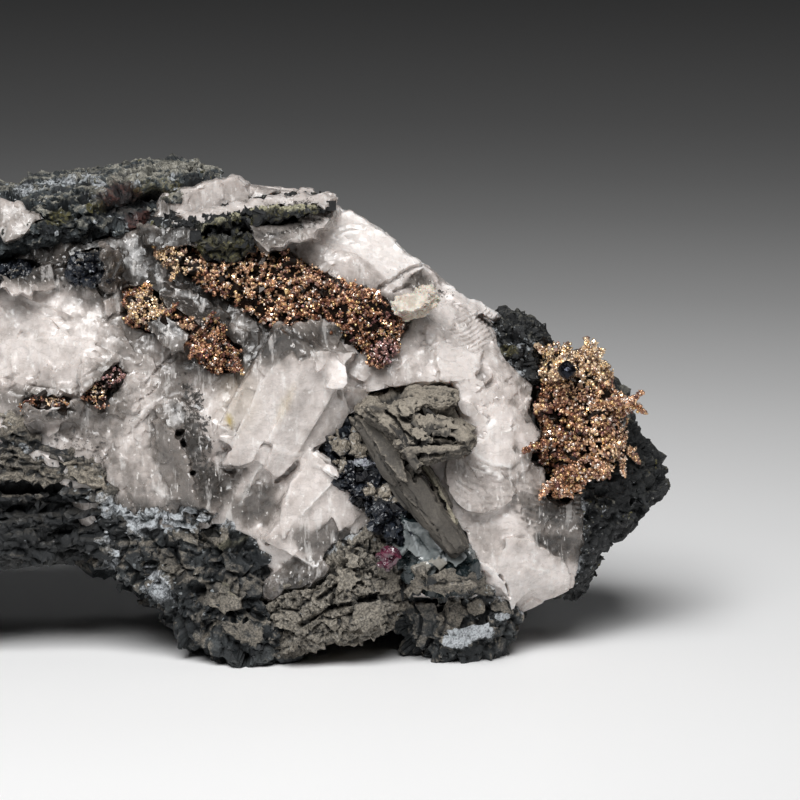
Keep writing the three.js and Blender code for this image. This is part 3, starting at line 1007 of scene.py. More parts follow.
wallFinish = rockFinish("wallRock")
slabFinish = rockFinish("slabRock", mid=(0.07, 0.066, 0.058), dust=(0.40, 0.35, 0.28))
crustFinish = rockFinish(
    "crustRock", mid=(0.07, 0.085, 0.09), dust=(0.42, 0.40, 0.34), dustLow=(0.16, 0.155, 0.13),
    dustLevel=0.72)
brecciaFinish = rockFinish("brecciaRock", dust=(0.37, 0.33, 0.27), dustLow=(0.20, 0.18, 0.15), dustLevel=0.38)
blackFinish = rockFinish(
    "blackRock", dark=(0.005, 0.006, 0.007), mid=(0.028, 0.030, 0.030), dust=(0.20, 0.19, 0.155),
    dustLow=(0.07, 0.067, 0.055), dustLevel=0.78)
slateFinish = rockFinish(
    "slate", dark=(0.07, 0.062, 0.053), mid=(0.17, 0.15, 0.125), dust=(0.42, 0.37, 0.30),
    dustLow=(0.24, 0.21, 0.17), deep=(0.008, 0.008, 0.008), dustLevel=0.55, rough=0.8, gloss=0.12,
    grit=0.3, spark=0.15, glitter=0.05, bump=0.45)
sulphideFinish = rockFinish(
    "sulphide", dark=(0.008, 0.011, 0.017), mid=(0.038, 0.047, 0.062), dust=(0.40, 0.35, 0.28),
    dustLow=(0.2, 0.18, 0.15), crust=(0.40, 0.41, 0.47), deep=(0.003, 0.003, 0.005), dustLevel=1.0,
    rough=0.3, gloss=0.2, glitter=0.3, bump=0.3)
calcite = calciteFinish()


# rim is the painted highlight on the seams
quartzLook = {
    "dark": (0.022, 0.034, 0.038), "pale": (0.30, 0.325, 0.325), "vein": (0.4, 0.43, 0.44),
    "dust": (0.34, 0.32, 0.28), "rim": (0.6, 0.64, 0.66),
}


def quartzFinish():
    look, f = quartzLook, Finish("quartz")
    cloud = f.noise(1.6, 5.0, 0.6)
    tone = f.painted("tone")
    body = f.mix(f.band(cloud + tone * 0.6, 0.6, 1.25), look["dark"], look["pale"])
    body = f.mix(f.band(f.noise(0.4, 4.0, 0.7), 0.6, 0.75) * 0.6, body, look["vein"])
    body = f.mix(f.band(f.painted("dust") + f.noise(0.5, 4.0), 0.85, 1.2), body, look["dust"])
    # painted highlight on the seams
    body = f.mix(f.painted("bright"), body, look["rim"])
    normal = f.glitter(0.8, 0.2, f.bump(f.noise(0.6, 3.0), 0.06, strength=0.4))
    return f.close(f.surface({
        "Base Color": body, "Roughness": f.band(cloud, 0.3, 0.8) * 0.2 + 0.06, "Normal": normal, "IOR": 1.54,
        "Transmission Weight": 0.25,
    }))


# pale is a painted glint on a few grains; deep is painted shade on the core and the inner grains
silverLook = {
    "copper": (0.86, 0.50, 0.31), "brown": (0.20, 0.08, 0.042), "gold": (1.0, 0.78, 0.54),
    "pale": (0.98, 0.88, 0.80), "yellow": (0.98, 0.70, 0.34), "dusky": (0.16, 0.07, 0.075),
    "violet": (0.62, 0.40, 0.47), "deep": (0.012, 0.007, 0.005),
}


def silverFinish():
    look, f = silverLook, Finish("silver")
    tone = f.painted("tone") - f.painted("shade")
    body = f.mix(f.band(tone, 0.1, 0.8), look["brown"], look["copper"])
    body = f.mix(f.band(f.painted("gold") + tone * 0.6 - 0.3, 0.15, 0.75), body, look["gold"])
    spin = f.painted("spin")
    # painted glints: a few grains turned near white
    body = f.mix(f.band(spin, 0.86, 0.9) * 0.8, body, look["pale"])
    body = f.mix(f.band(spin, 0.62, 0.64) * f.band(spin, 0.76, 0.74) * 0.75, body, look["yellow"])
    body = f.mix(f.band(spin, 0.22, 0.18) * 0.8, body, look["dusky"])
    body = f.mix(f.band(f.painted("violet") + tone * 0.3, 0.4, 0.95), body, look["violet"])
    # painted shade on the core and the inner grains
    body = f.mix(f.band(f.painted("deep"), 0.1, 0.9), body, look["deep"])
    rough = f.band(spin, 0.0, 1.0) * -0.3 + 0.46
    normal = f.bump(f.noise(0.12, 3.0), 0.02, strength=0.35)
    return f.close(f.surface({"Base Color": body, "Roughness": rough, "Metallic": 0.65, "Normal": normal}))


silverCoat = silverFinish()


def plainStone(name, low, high, inputs):
    f = Finish(name)
    body = f.mix(f.band(f.noise(0.8, 5.0, 0.6), 0.35, 0.68), low, high)
    normal = f.glitter(0.3, 0.2, f.bump(f.noise(0.25, 4.0, 0.6), 0.08, strength=0.6))
    return f.close(f.surface({"Base Color": body, "Normal": normal, **inputs}))


creamFinish = plainStone(
    "creamCalcite", (0.50, 0.44, 0.37), (0.74, 0.68, 0.60),
    {"Roughness": 0.5, "Subsurface Weight": 0.3, "Subsurface Scale": 0.8 * mm})
rubyFinish = plainStone(
    "rubySilver", (0.03, 0.005, 0.014), (0.13, 0.025, 0.05), {"Roughness": 0.14, "IOR": 1.9})
beadFinish = plainStone(
    "acanthite", (0.012, 0.014, 0.02), (0.03, 0.032, 0.042), {"Roughness": 0.12, "Metallic": 0.85})
report("finishes ready")

# wall rock

# where calcite or rock has grown over the edges of the silver, sulphides and ledge, as (u, v)
bandCovers = [
    pairs(284, 338, 300, 324, 322, 318, 342, 330, 358, 352, 344, 364, 322, 358, 302, 352),
    pairs(196, 238, 246, 236, 250, 250, 238, 261, 214, 262, 200, 254),
    pairs(168, 284, 190, 288, 214, 304, 232, 326, 250, 336, 240, 346, 216, 330, 188, 304),
]
tuftCovers = [
    pairs(146, 326, 160, 310, 174, 318, 188, 334, 184, 352, 162, 346),
    pairs(158, 292, 176, 296, 202, 308, 214, 324, 196, 322, 180, 312, 168, 312),
]
farFleckCovers = [
    pairs(24, 382, 78, 382, 80, 394, 60, 395, 44, 398, 26, 396),
    pairs(26, 405, 50, 407, 80, 403, 80, 422, 26, 422),
]
nearFleckCovers = [
    pairs(82, 358, 118, 358, 106, 373, 94, 383, 82, 392),
    pairs(136, 372, 122, 386, 108, 401, 100, 414, 138, 414),
]
patchCovers = [
    pairs(98, 244, 120, 248, 124, 280, 112, 294, 100, 286, 105, 268),
    pairs(58, 274, 76, 281, 96, 288, 102, 298, 70, 296, 54, 286),
    pairs(54, 244, 72, 242, 68, 254, 62, 270, 52, 262),
    pairs(0, 274, 18, 278, 38, 268, 52, 262, 54, 286, 20, 294, 0, 292),
    pairs(24, 244, 48, 248, 48, 262, 34, 256),
]
ledgeCovers = [
    pairs(250, 247, 266, 237, 292, 229, 316, 217, 333, 209, 333, 223, 318, 233, 296, 241, 276, 251, 258, 255),
    pairs(176, 214, 200, 211, 230, 204, 256, 199, 290, 195, 326, 193, 329, 203, 300, 206, 262, 210, 236, 214,
        214, 221, 192, 226),
]

contactCrumbs = bits(1800, 0.15, 0.5, (1, 0.8, 0.5), 0.05, shards=True, contact="calcite", reach=0.8,
    add={"crust": 0.4, "tone": 0.2}, vary={"crust": 0.5, "tone": 0.3})
smallGrains = [
    bits(900, 0.5, 1.4, (1, 0.8, 0.55), 0.2, vary={"tone": 0.35, "dust": 0.35, "crust": 0.1}),
    bits(1500, 0.18, 0.55, (1, 0.8, 0.5), 0.1, power=1.8, shards=True,
        vary={"tone": 0.35, "dust": 0.35, "crust": 0.2}),
    contactCrumbs,
]

blockGrains = [{**grain, "size": size, "shards": False, "shape": (1.0, 0.8, 0.7), "sink": 0.2,
                "vary": {"tone": 0.6, "dust": 0.5, "crust": 0.3, "olive": 0.3}}
               for grain, size in zip(smallGrains, ((0.4, 1.1), (0.15, 0.4), (0.12, 0.35)))]

baseRock = {
    "calciteDust": 0.7, "nodes": ["wall_rock_base"], "seed": 11, "voxel": 0.19, "budget": 42000, "tone": 0.35,
    "chips": [
        bits(260, 1.2, 3.6, (1, 0.8, 0.3), 0.16, flat=True, jitter=16),
        bits(600, 0.5, 1.6, (1, 0.8, 0.4), 0.16, flat=True, jitter=24),
    ],
    "plates": [
        cover(0.4, 0.4, 98, 496, 115, 504, 135, 513, 165, 512, 190, 504, 206, 498, 212, 512, 200, 530,
            150, 534, 120, 540, 110, 560, 100, 545, crust=0.45, thick=3, ragged=3),
        cover(0.5, 0.5, 104, 520, 124, 526, 140, 560, 150, 585, 136, 592, 118, 572, 106, 548, crust=0.3,
            thick=3),
        face(0.9, 0.5, 168, 528, 190, 532, 202, 538, 196, 545, 180, 540, dust=1.1),
        face(1, 0.4, 193, 510, 206, 514, 206, 520, 196, 519, dust=1),
        face(0.2, 0.7, 172, 536, 192, 541, 200, 552, 184, 548, dust=0.1),
        face(-0.5, 0.2, 220, 548, 240, 536, 258, 536, 262, 560, 245, 575, 226, 570, lean=(0.2, -0.1)),
        face(0.7, 0.6, 202, 600, 222, 588, 242, 596, 246, 612, 222, 614, dust=0.75),
        face(0.8, 0.6, 218, 625, 240, 622, 262, 630, 262, 645, 236, 640, dust=0.55),
    ],
    "fragments": [broken(2.4, 0.5, 0.5, 0.5, gap=(0.14, 0.4)), broken(0.9, 0.5, 0.15, 0.6, gap=(0.1, 0.15))],
    "clouds": [(1.2, 0.18)], "pits": [(2.2, 0.7), (0.9, 0.25)],
    "holes": [
        dent(240, 548, 17, 14, 0, 1.2, 0.5), dent(190, 522, 14, 5, 20, 1.2), dent(212, 530, 9, 8, 0, 0.9),
        dent(120, 530, 7, 26, -10, 0.8), dent(196, 590, 9, 8, 0, 0.9),
    ],
    "cracks": [
        gash(2.5, 0.8, 1, 165, 527, 180, 531, 200, 537, 212, 545),
        gash(2, 0.6, 1, 210, 500, 225, 512, 245, 516), gash(4, 1.4, 1, 230, 615, 250, 612, 262, 618),
    ],
    "rims": [
        seam(2.2, 0.2, 0.35, 218, 548, 234, 540, 250, 534), seam(1.6, 0.2, 0.5, 215, 506, 238, 513),
        seam(1.4, 0.15, 0.4, 222, 584, 238, 598),
    ],
    "zones": {
        "crust": zone(
            oval(120, 508, 26, 7, 24, 0.95), oval(150, 520, 30, 7, 5, 0.85), oval(190, 508, 24, 6, -22, 0.85),
            oval(116, 540, 18, 44, -14, 0.75, 0.8), oval(150, 580, 34, 16, 35, 0.7, 0.8),
            oval(140, 582, 16, 7, 30, 0.9), oval(156, 590, 14, 3, 42, 0.7), oval(190, 578, 14, 4, -10, 0.3),
            ragged=6),
        "dust": zone(
            oval(195, 535, 30, 12, 10, 0.7), oval(170, 572, 26, 16, 0, 0.6), oval(222, 596, 22, 16, 0, 0.7),
            oval(128, 536, 5, 7, 0, 0.9), level=0.18, cloud=0.4, cloudSize=2.2),
    },
    "grains": smallGrains, "dustUp": 0.35,
}
grow("baseRock", baseRock, wallFinish)

brecciaRock = {
    "calciteDust": 0.7, "nodes": ["wall_rock_breccia"], "seed": 12, "voxel": 0.18, "budget": 36000,
    "tone": 0.55,
    "chips": [bits(240, 1, 3.2, (1, 0.8, 0.6), 0.28), bits(1000, 0.5, 1.5, (1, 0.8, 0.7), 0.22)],
    "plates": [
        face(0.8, 0.9, 345, 550, 360, 556, 356, 568, 344, 560, dust=1.2),
        face(0.6, 0.6, 370, 575, 395, 572, 402, 590, 384, 598, 368, 592, dust=1),
        face(0.5, 0.65, 352, 602, 380, 600, 388, 615, 372, 630, 352, 624, dust=0.95),
        face(0.4, 0.7, 335, 532, 360, 528, 372, 538, 350, 545, dust=1),
        face(0.5, 0.7, 336, 572, 350, 566, 360, 578, 350, 592, 336, 588, dust=1.1),
        face(0.7, 0.5, 376, 560, 388, 566, 386, 580, 374, 576, dust=0.9),
    ],
    "fragments": [broken(1.9, 0.3, 0.4, 0.3, gap=(0.2, 0.45)), broken(0.7, 0.3, 0.2, 0.3, gap=(0.12, 0.2))],
    "clouds": [(0.9, 0.16)], "pits": [(1.3, 0.6), (0.6, 0.4)],
    "cracks": [
        gash(3.5, 1.1, 1, 258, 605, 280, 592, 310, 585, 330, 568, 345, 562),
        gash(3, 0.9, 1, 318, 600, 335, 585, 330, 610),
        gash(3, 1, 1, 300, 625, 325, 612, 345, 606, 370, 598, 388, 596),
        gash(1.6, 0.5, 1, 366, 560, 372, 575, 388, 580),
    ],
    "zones": {
        "dust": zone(level=0.62, cloud=0.35, cloudSize=2, ragged=8),
        "crust": zone(cloud=0.25, cloudSize=1.5),
    },
    "grains": [
        bits(700, 0.5, 1.3, (1, 0.8, 0.6), 0.2, power=1.5, vary={"tone": 0.3, "dust": 0.25}),
        bits(2000, 0.18, 0.55, (1, 0.8, 0.6), 0.08, power=2, shards=True, vary={"tone": 0.25, "dust": 0.25}),
        contactCrumbs,
    ],
    "dustUp": 0.25,
}
grow("brecciaRock", brecciaRock, brecciaFinish)

leftRock = {
    "calciteDust": 0.7, "nodes": ["wall_rock_left"], "seed": 13, "swell": -0.25, "voxel": 0.22,
    "budget": 38000, "tone": 0.3,
    "chips": [
        bits(340, 1.6, 5, (1, 0.8, 0.16), 0.2, jitter=5, lay=[(10, 4, 8), (-14, -3, 4), (30, 6, 12)]),
        bits(900, 0.6, 2, (1, 0.9, 0.3), 0.2, jitter=8, lay=[(0, 5, 8), (40, 0, 10)]),
    ],
    "plates": [
        face(1.2, 0.5, 20, 470, 45, 464, 70, 468, 72, 480, 45, 482, 24, 478, dust=0.95, lean=(0, 0.5)),
        face(0.9, 0.5, 0, 462, 22, 463, 20, 470, 0, 472, dust=1),
        face(0.9, 0.8, 45, 450, 60, 448, 75, 458, 96, 466, 98, 476, 80, 486, 68, 470, 50, 462, dust=1.1,
            lean=(0, 0.4)),
        face(1.4, 0.8, 80, 452, 86, 452, 97, 461, 92, 464, dust=1),
        face(0.8, 0.6, 38, 440, 56, 446, 56, 456, 42, 450, dust=0.9),
        face(0.8, 0.8, 88, 486, 100, 480, 112, 492, 104, 502, 94, 498, dust=0.8),
        face(0.8, 0.6, 32, 492, 46, 492, 46, 500, 34, 499, dust=0.6),
        face(0.4, 0.7, 0, 412, 14, 410, 26, 424, 22, 432, 4, 424, dust=1, over=True),
        face(0.6, 0.3, 0, 432, 24, 428, 44, 440, 70, 446, 92, 456, 100, 470, 60, 470, 20, 466, 0, 462,
            dust=0.45, over=True, calm=0.1, thick=3),
        cover(1, 0.4, 0, 446, 24, 444, 48, 452, 72, 462, 84, 478, 64, 486, 30, 484, 0, 480, dust=0.5,
            thick=3),
        # these two dark covers with little dust are painted shade on the slab's lower part
        cover(0.9, 0.15, 58, 474, 92, 478, 110, 494, 112, 520, 100, 536, 76, 530, 60, 505, dust=-0.2,
            thick=3),
        cover(0.6, 0.1, 70, 470, 98, 462, 108, 478, 116, 500, 124, 520, 124, 546, 108, 552, 84, 548, 66, 530,
            dust=-0.25, thick=3.5),
        face(1.3, 0.8, 55, 462, 76, 458, 98, 470, 110, 486, 100, 494, 82, 488, 66, 478, dust=0.9, over=True,
            calm=0.4, thick=2.5),
    ],
    "fragments": [
        broken(2.4, 0.22, 0.4, 0.3, gap=(0.2, 0.35), stretch=(1.6, 1.2, 0.5)),
        broken(1, 0.25, 0.15, 0.3, gap=(0.15, 0.15), stretch=(1.4, 1, 0.6)),
    ],
    "clouds": [(1.4, 0.12)],
    "beds": [{"across": (0.08, -0.15, 1), "thick": 1.4, "step": 0.9, "groove": 0.3, "seed": 5, "wave": 2.2}],
    "holes": [
        # the first dent has no depth: it is painted shadow over the slab's lower part
        dent(50, 527, 80, 34, 0, 0), dent(40, 488, 44, 4.5, 2, 1.6, 0.9),
        dent(38, 456, 9, 6, 0, 1.2), dent(60, 508, 60, 4, 0, 1, 0.8), dent(70, 530, 34, 5, -22, 1.2),
        dent(10, 505, 16, 4, 0, 1),
    ],
    "zones": {
        # the dust level below zero keeps the slab dark outside its spots; this is painted shade for its lower
        # part
        "dust": zone(
            oval(50, 466, 60, 20, 8, 0.75), oval(104, 496, 14, 14, 0, 0.7), oval(12, 420, 16, 12, 0, 0.8),
            level=-0.6, cloud=0.3),
        "crust": zone(oval(112, 504, 14, 8, 30, 0.8), oval(25, 447, 8, 2.5, 45, 1.1)),
        "olive": zone(level=0.1, cloud=0.15),
    },
    "grains": [{**grain, "vary": {"tone": 0.3, "dust": 0.25, "crust": 0.1}} for grain in smallGrains],
    "dustUp": 0.55,
}
grow("leftRock", leftRock, slabFinish)

crustRock = {
    "calciteDust": 0.7, "nodes": ["wall_rock_crust"], "seed": 14, "voxel": 0.2, "budget": 38000, "tone": 0.45,
    "chips": [
        bits(220, 1.4, 4, (1, 0.7, 0.22), 0.14, flat=True, jitter=10),
        bits(900, 0.4, 1.3, (1, 0.8, 0.35), 0.14, flat=True, jitter=18),
    ],
    "fragments": [
        broken(1.6, 0.4, 0.3, 1, gap=(0.12, 0.2), stretch=(1.5, 1, 0.7)),
        broken(0.6, 0.4, 0.12, 0.7, gap=(0.1, 0.1)),
    ],
    "clouds": [(1.2, 0.14)], "pits": [(1.8, 0.5), (0.7, 0.25)],
    "holes": [
        dent(130, 208, 26, 18, -10, 3, 1, 0.5), dent(122, 186, 10, 6, 0, 1.2), dent(17, 202, 15, 6, 5, 1.8),
        dent(5, 194, 8, 3, 0, 1), dent(46, 185, 11, 3, -14, 1.2), dent(56, 206, 14, 4, 0, 1.2),
        dent(172, 172, 12, 4, 0, 1.4), dent(200, 168, 12, 2.5, 0, 1), dent(196, 181, 9, 3, -20, 1),
        dent(150, 196, 14, 8, -30, 1.4), dent(84, 196, 5, 8, 0, 0.8), dent(96, 236, 8, 10, 0, 1),
    ],
    "zones": {
        "stain": zone(oval(120, 196, 30, 20, 0, 0.6, 0.8), oval(138, 220, 16, 12, 0, 0.8, 0.8)),
        "dust": zone(
            oval(130, 176, 28, 6, -12, 0.9), oval(180, 165, 34, 4, -2, 0.9), oval(94, 188, 10, 6, 0, 0.7),
            level=0.12, cloud=0.3),
        "crust": zone(
            oval(30, 188, 34, 6, -14, 0.55), oval(98, 184, 8, 4, 0, 0.9), oval(70, 180, 36, 6, -8, 0.5),
            oval(137, 184, 6, 5, 0, 0.7), oval(92, 196, 5, 3, 0, 0.8), oval(172, 178, 5, 2.5, 0, 0.9),
            ragged=4, cloud=0.15),
        "olive": zone(
            oval(60, 216, 16, 10, 0, 0.6), oval(150, 190, 40, 14, -10, 0.5), oval(100, 208, 14, 8, 0, 0.5)),
    },
    "grains": [{**grain, "vary": {"tone": 0.6, "dust": 0.5, "crust": 0.5, "olive": 0.35}}
        for grain in smallGrains],
    "dustUp": 0.3,
}
grow("crustRock", crustRock, crustFinish)

ledgeRock = {
    "nodes": ["wall_rock_ledge"], "seed": 15, "voxel": 0.16, "budget": 26000, "tone": 0.3,
    "chips": [
        bits(120, 0.8, 2, (1, 0.7, 0.2), 0.1, jitter=12, flat=True),
        bits(400, 0.3, 0.8, (1, 0.8, 0.4), 0.15, flat=True, jitter=12),
    ],
    "plates": [cover(0.8, 0.4, edge=bandCovers[1], olive=0.5)],
    "swell": -0.25, "flatten": 0.62, "fragments": [broken(1, 0.45, 0.3, 0.5, gap=(0.2, 0.3))],
    "clouds": [(0.8, 0.2)], "pits": [(1, 0.6), (0.5, 0.4)],
    "holes": [
        dent(230, 226, 16, 5, -8, 1.4), dent(222, 238, 22, 3, -4, 0.8), dent(256, 224, 12, 5, 0, 0.9),
        dent(168, 236, 14, 5, 0, 0.6),
    ],
    "rims": [
        seam(1.8, 0.3, 0.9, 218, 222, 232, 216, 250, 213, 262, 210, 285, 208, 305, 208, 320, 205, 332, 206),
        seam(1.5, 0.2, 0.5, 198, 228, 210, 224, 220, 219),
    ],
    "zones": {
        "olive": zone(
            oval(215, 245, 30, 10, 0, 0.6), oval(260, 218, 70, 8, -8, 0.4), oval(160, 226, 14, 8, 0, 0.5),
            level=0.25, cloud=0.4, cloudSize=0.9),
        "dust": zone(oval(212, 243, 14, 8, 0, 0.6), level=0.05, cloud=0.25),
        "crust": zone(
            oval(158, 222, 10, 6, 0, 0.7), oval(162, 230, 7, 3, 0, 0.9), oval(296, 222, 6, 3, -15, 0.8)),
    },
    "grains": [
        bits(2000, 0.16, 0.5, (1, 0.8, 0.6), 0.05, power=2, shards=True,
            vary={"tone": 0.25, "dust": 0.25, "olive": 0.2}),
    ],
    "dustUp": 0.2,
}
grow("ledgeRock", ledgeRock, blackFinish)

knobRock = {
    "calciteDust": 0.7, "nodes": ["wall_rock_knob"], "seed": 16, "voxel": 0.16, "budget": 14000, "tone": 0.35,
    "chips": [bits(120, 0.8, 2.4, (1, 0.8, 0.6), 0.3), bits(500, 0.3, 0.9, (1, 0.8, 0.7), 0.2)],
    "fragments": [broken(1.4, 0.35, 0.4, 0.5, gap=(0.2, 0.4)), broken(0.6, 0.35, 0.15, 0.3)],
    "clouds": [(1, 0.18)], "pits": [(1.3, 0.6)],
    "holes": [dent(512, 338, 8, 5, 0, 0.8), dent(536, 356, 10, 4, -50, 1)],
    "zones": {
        "olive": zone(oval(508, 352, 14, 8, 0, 0.55)),
        "crust": zone(oval(525, 345, 14, 10, 0, 0.35), cloud=0.3, cloudSize=0.8),
    },
    "grains": [bits(1400, 0.18, 0.5, (1, 0.8, 0.6), 0.05, vary={"tone": 0.3, "crust": 0.25, "dust": 0.2})],
}
grow("knobRock", knobRock, blackFinish)

rightRock = {
    "calciteDust": 0.7, "nodes": ["wall_rock_right"], "seed": 17, "voxel": 0.2, "budget": 30000, "tone": 0.35,
    "chips": [bits(260, 0.9, 2.6, (1, 0.9, 0.8), 0.4), bits(900, 0.4, 1.2, (1, 0.9, 0.8), 0.3)],
    "fragments": [broken(2.2, 0.3, 0.3, 0.4), broken(0.9, 0.35, 0.1, 0.4)],
    "clouds": [(1.6, 0.35), (0.7, 0.2)], "pits": [(1.6, 0.9), (0.8, 0.4)],
    "zones": {
        "dust": zone(level=0.1, cloud=0.4),
        "crust": zone(oval(584, 566, 8, 8, 0, 0.25)),
        "olive": zone(level=0.1, cloud=0.4),
    },
    "grains": blockGrains, "dustUp": 0.3,
}
grow("rightRock", rightRock, blackFinish)

footRock = {
    "calciteDust": 0.7, "nodes": ["wall_rock_foot"], "seed": 18, "voxel": 0.18, "budget": 22000, "tone": 0.35,
    "chips": [
        bits(90, 1.4, 4.2, (1, 0.8, 0.5), 0.34, jitter=10, lay=[(10, 8, -12), (-25, -10, 6)]),
        bits(120, 0.5, 1.4, (1, 0.8, 0.4), 0.2, flat=True, jitter=12),
    ],
    "plates": [
        face(1.2, 0.95, 402, 592, 410, 580, 430, 573, 455, 570, 472, 577, 462, 588, 440, 594, 422, 592,
            dust=0.75, lean=(0, 0.5), over=True, ragged=1, calm=0.7),
        face(1, 0.6, 462, 576, 480, 574, 490, 584, 486, 598, 468, 592, dust=0.6, over=True, ragged=1),
        face(1, 0.4, 486, 578, 498, 580, 508, 598, 509, 612, 492, 611, 485, 598, dust=0.6, lean=(-0.4, 0)),
        face(0.5, 0.4, 404, 596, 436, 602, 442, 622, 438, 642, 420, 640, 407, 620, dust=0.36),
        face(0.6, 0.6, 441, 603, 462, 600, 468, 612, 460, 626, 444, 632, dust=0.55, lean=(0.2, 0)),
        face(1, 1, 441, 648, 450, 630, 490, 620, 491, 634, 462, 644, crust=0.8, calm=0.6),
        face(0.8, 0.8, 470, 598, 486, 598, 486, 612, 472, 618, 464, 608, dust=0.7),
        face(0.8, 0.9, 492, 614, 508, 612, 512, 618, 496, 620, crust=0.8),
    ],
    "fragments": [broken(2.4, 0.45, 0.5, 0.4, gap=(0.14, 0.4)), broken(0.9, 0.4, 0.12, 0.4, gap=(0.1, 0.1))],
    "clouds": [(1.2, 0.12)], "pits": [(1.2, 0.4)], "holes": [dent(440, 598, 34, 4, -4, 1.2, 0.85)],
    "cracks": [
        gash(1.4, 0.3, 1, 414, 604, 422, 622, 418, 638), gash(2, 0.5, 1, 440, 604, 446, 618, 440, 640),
        gash(1.6, 0.4, 1, 462, 598, 466, 612, 478, 622),
    ],
    "zones": {"dust": zone(oval(430, 575, 26, 8, 0, 0.5), level=0.2, cloud=0.3)},
    "grains": [
        bits(1200, 0.15, 0.5, (1, 0.8, 0.5), 0.1, power=2, shards=True, vary={"tone": 0.3, "dust": 0.3}),
    ],
    "dustUp": 0.4,
}
grow("footRock", footRock, wallFinish)

backRock = {
    "nodes": ["wall_rock_back"], "seed": 19, "voxel": 0.34, "budget": 32000, "tone": 0.4,
    "chips": [
        bits(170, 4, 10, (1, 0.8, 0.28), 0.1, flat=True, jitter=14),
        bits(600, 1, 3.4, (1, 0.8, 0.35), 0.1, flat=True, jitter=18),
    ],
    "fragments": [broken(5, 0.3, 1, 0.5, gap=(0.4, 0.7)), broken(1.6, 0.25, 0.25, 0.4)], "clouds": [(3, 0.4)],
    "pits": [(2.6, 0.8)],
    "zones": {
        "dust": zone(level=0.3, cloud=0.4, cloudSize=5),
        "crust": zone(level=0.05, cloud=0.7, cloudSize=7),
    },
    "grains": [bits(1300, 0.4, 1.6, (1, 0.8, 0.6), 0.15, power=2, vary={"tone": 0.2, "dust": 0.2})],
}
grow("backRock", backRock, wallFinish)

# slate, sulphide and quartz

wedgeSlate = {
    "nodes": ["slate_wedge"], "seed": 21, "voxel": 0.14, "budget": 30000, "tone": 0.55, "swell": -0.15,
    "chips": [
        bits(700, 0.5, 1.3, (1, 0.8, 0.7), 0.2, power=1.4, where=[oval(442, 398, 20, 9, -8),
            oval(418, 418, 12, 8, 0, 0.5)]),
    ],
    "plates": [
        face(0.5, 0.62, 366, 408, 372, 402, 390, 406, 404, 399, 424, 396, 430, 404, 418, 414, 430, 422,
            424, 436, 410, 444, 396, 436, 380, 420, dust=0.55, lean=(0, 0.3), calm=0.45),
        face(0.7, 0.5, 396, 436, 410, 440, 428, 446, 462, 440, 473, 438, 470, 446, 440, 452, 412, 457,
            402, 452, dust=0.4, lean=(0, -0.3), calm=0.6),
        face(1, 0.1, 366, 404, 384, 404, 388, 410, 374, 412, dust=-1, calm=0.9),
        face(1, 0.8, 400, 404, 414, 404, 418, 412, 408, 417, 398, 413, dust=0.8, calm=0.5),
        face(1.1, 0.6, 416, 416, 430, 413, 440, 418, 432, 426, 420, 427, dust=0.55, calm=0.4),
        face(1.5, 0.72, 432, 424, 450, 421, 464, 429, 474, 437, 466, 443, 448, 434, 436, 434, dust=0.75,
            lean=(0, 0.5), ragged=0.4),
        face(1.8, 0.95, 456, 429, 467, 430, 473, 437, 465, 442, 457, 438, dust=1, ragged=0.4),
        face(1, 0.66, 408, 426, 426, 434, 434, 441, 424, 444, 412, 438, dust=0.6, calm=0.5),
    ],
    "soften": 1, "smooth": 24,
    "fragments": [
        broken(1.1, 0.3, 0.2, 0.35, along=(0.95, -0.1, -0.28), long=3, gap=(0.1, 0.16)),
        broken(0.5, 0.25, 0.05, 0.2),
    ],
    "clouds": [(0.8, 0.08)], "pits": [(0.7, 0.2)],
    "cracks": [
        gash(2, 0.7, 1, 386, 412, 394, 418, 402, 430, 405, 442),
        gash(1.6, 0.5, 1, 405, 432, 414, 440, 422, 446), gash(2, 0.9, 1, 436, 436, 448, 437, 458, 441),
        gash(2, 0.8, 1, 412, 422, 424, 429, 432, 432),
        gash(1.6, 0.5, 1, 400, 446, 420, 444, 436, 444, 456, 443),
        gash(1.4, 0.4, 1, 396, 404, 400, 414, 410, 420),
    ],
    "holes": [
        dent(440, 413, 26, 5, -6, 1.7, 0.9), dent(390, 396, 15, 7, -20, 1.1, 0.95),
        dent(448, 431, 12, 2.5, 8, 0.9, 0.9), dent(404, 420, 5, 2, 20, 0.5, 0.9),
        dent(424, 408, 5, 3, -40, 0.6, 0.8),
    ],
    "grains": [
        bits(1000, 0.14, 0.5, (1, 0.8, 0.6), 0.1, power=2, where=[oval(442, 400, 22, 10),
            oval(415, 425, 50, 26, 0, 0.3)], vary={"tone": 0.3, "dust": 0.3}),
    ],
    "zones": {"dust": zone(level=0.25, cloud=0.25)}, "dustUp": 0.4,
}
grow("wedgeSlate", wedgeSlate, slateFinish)

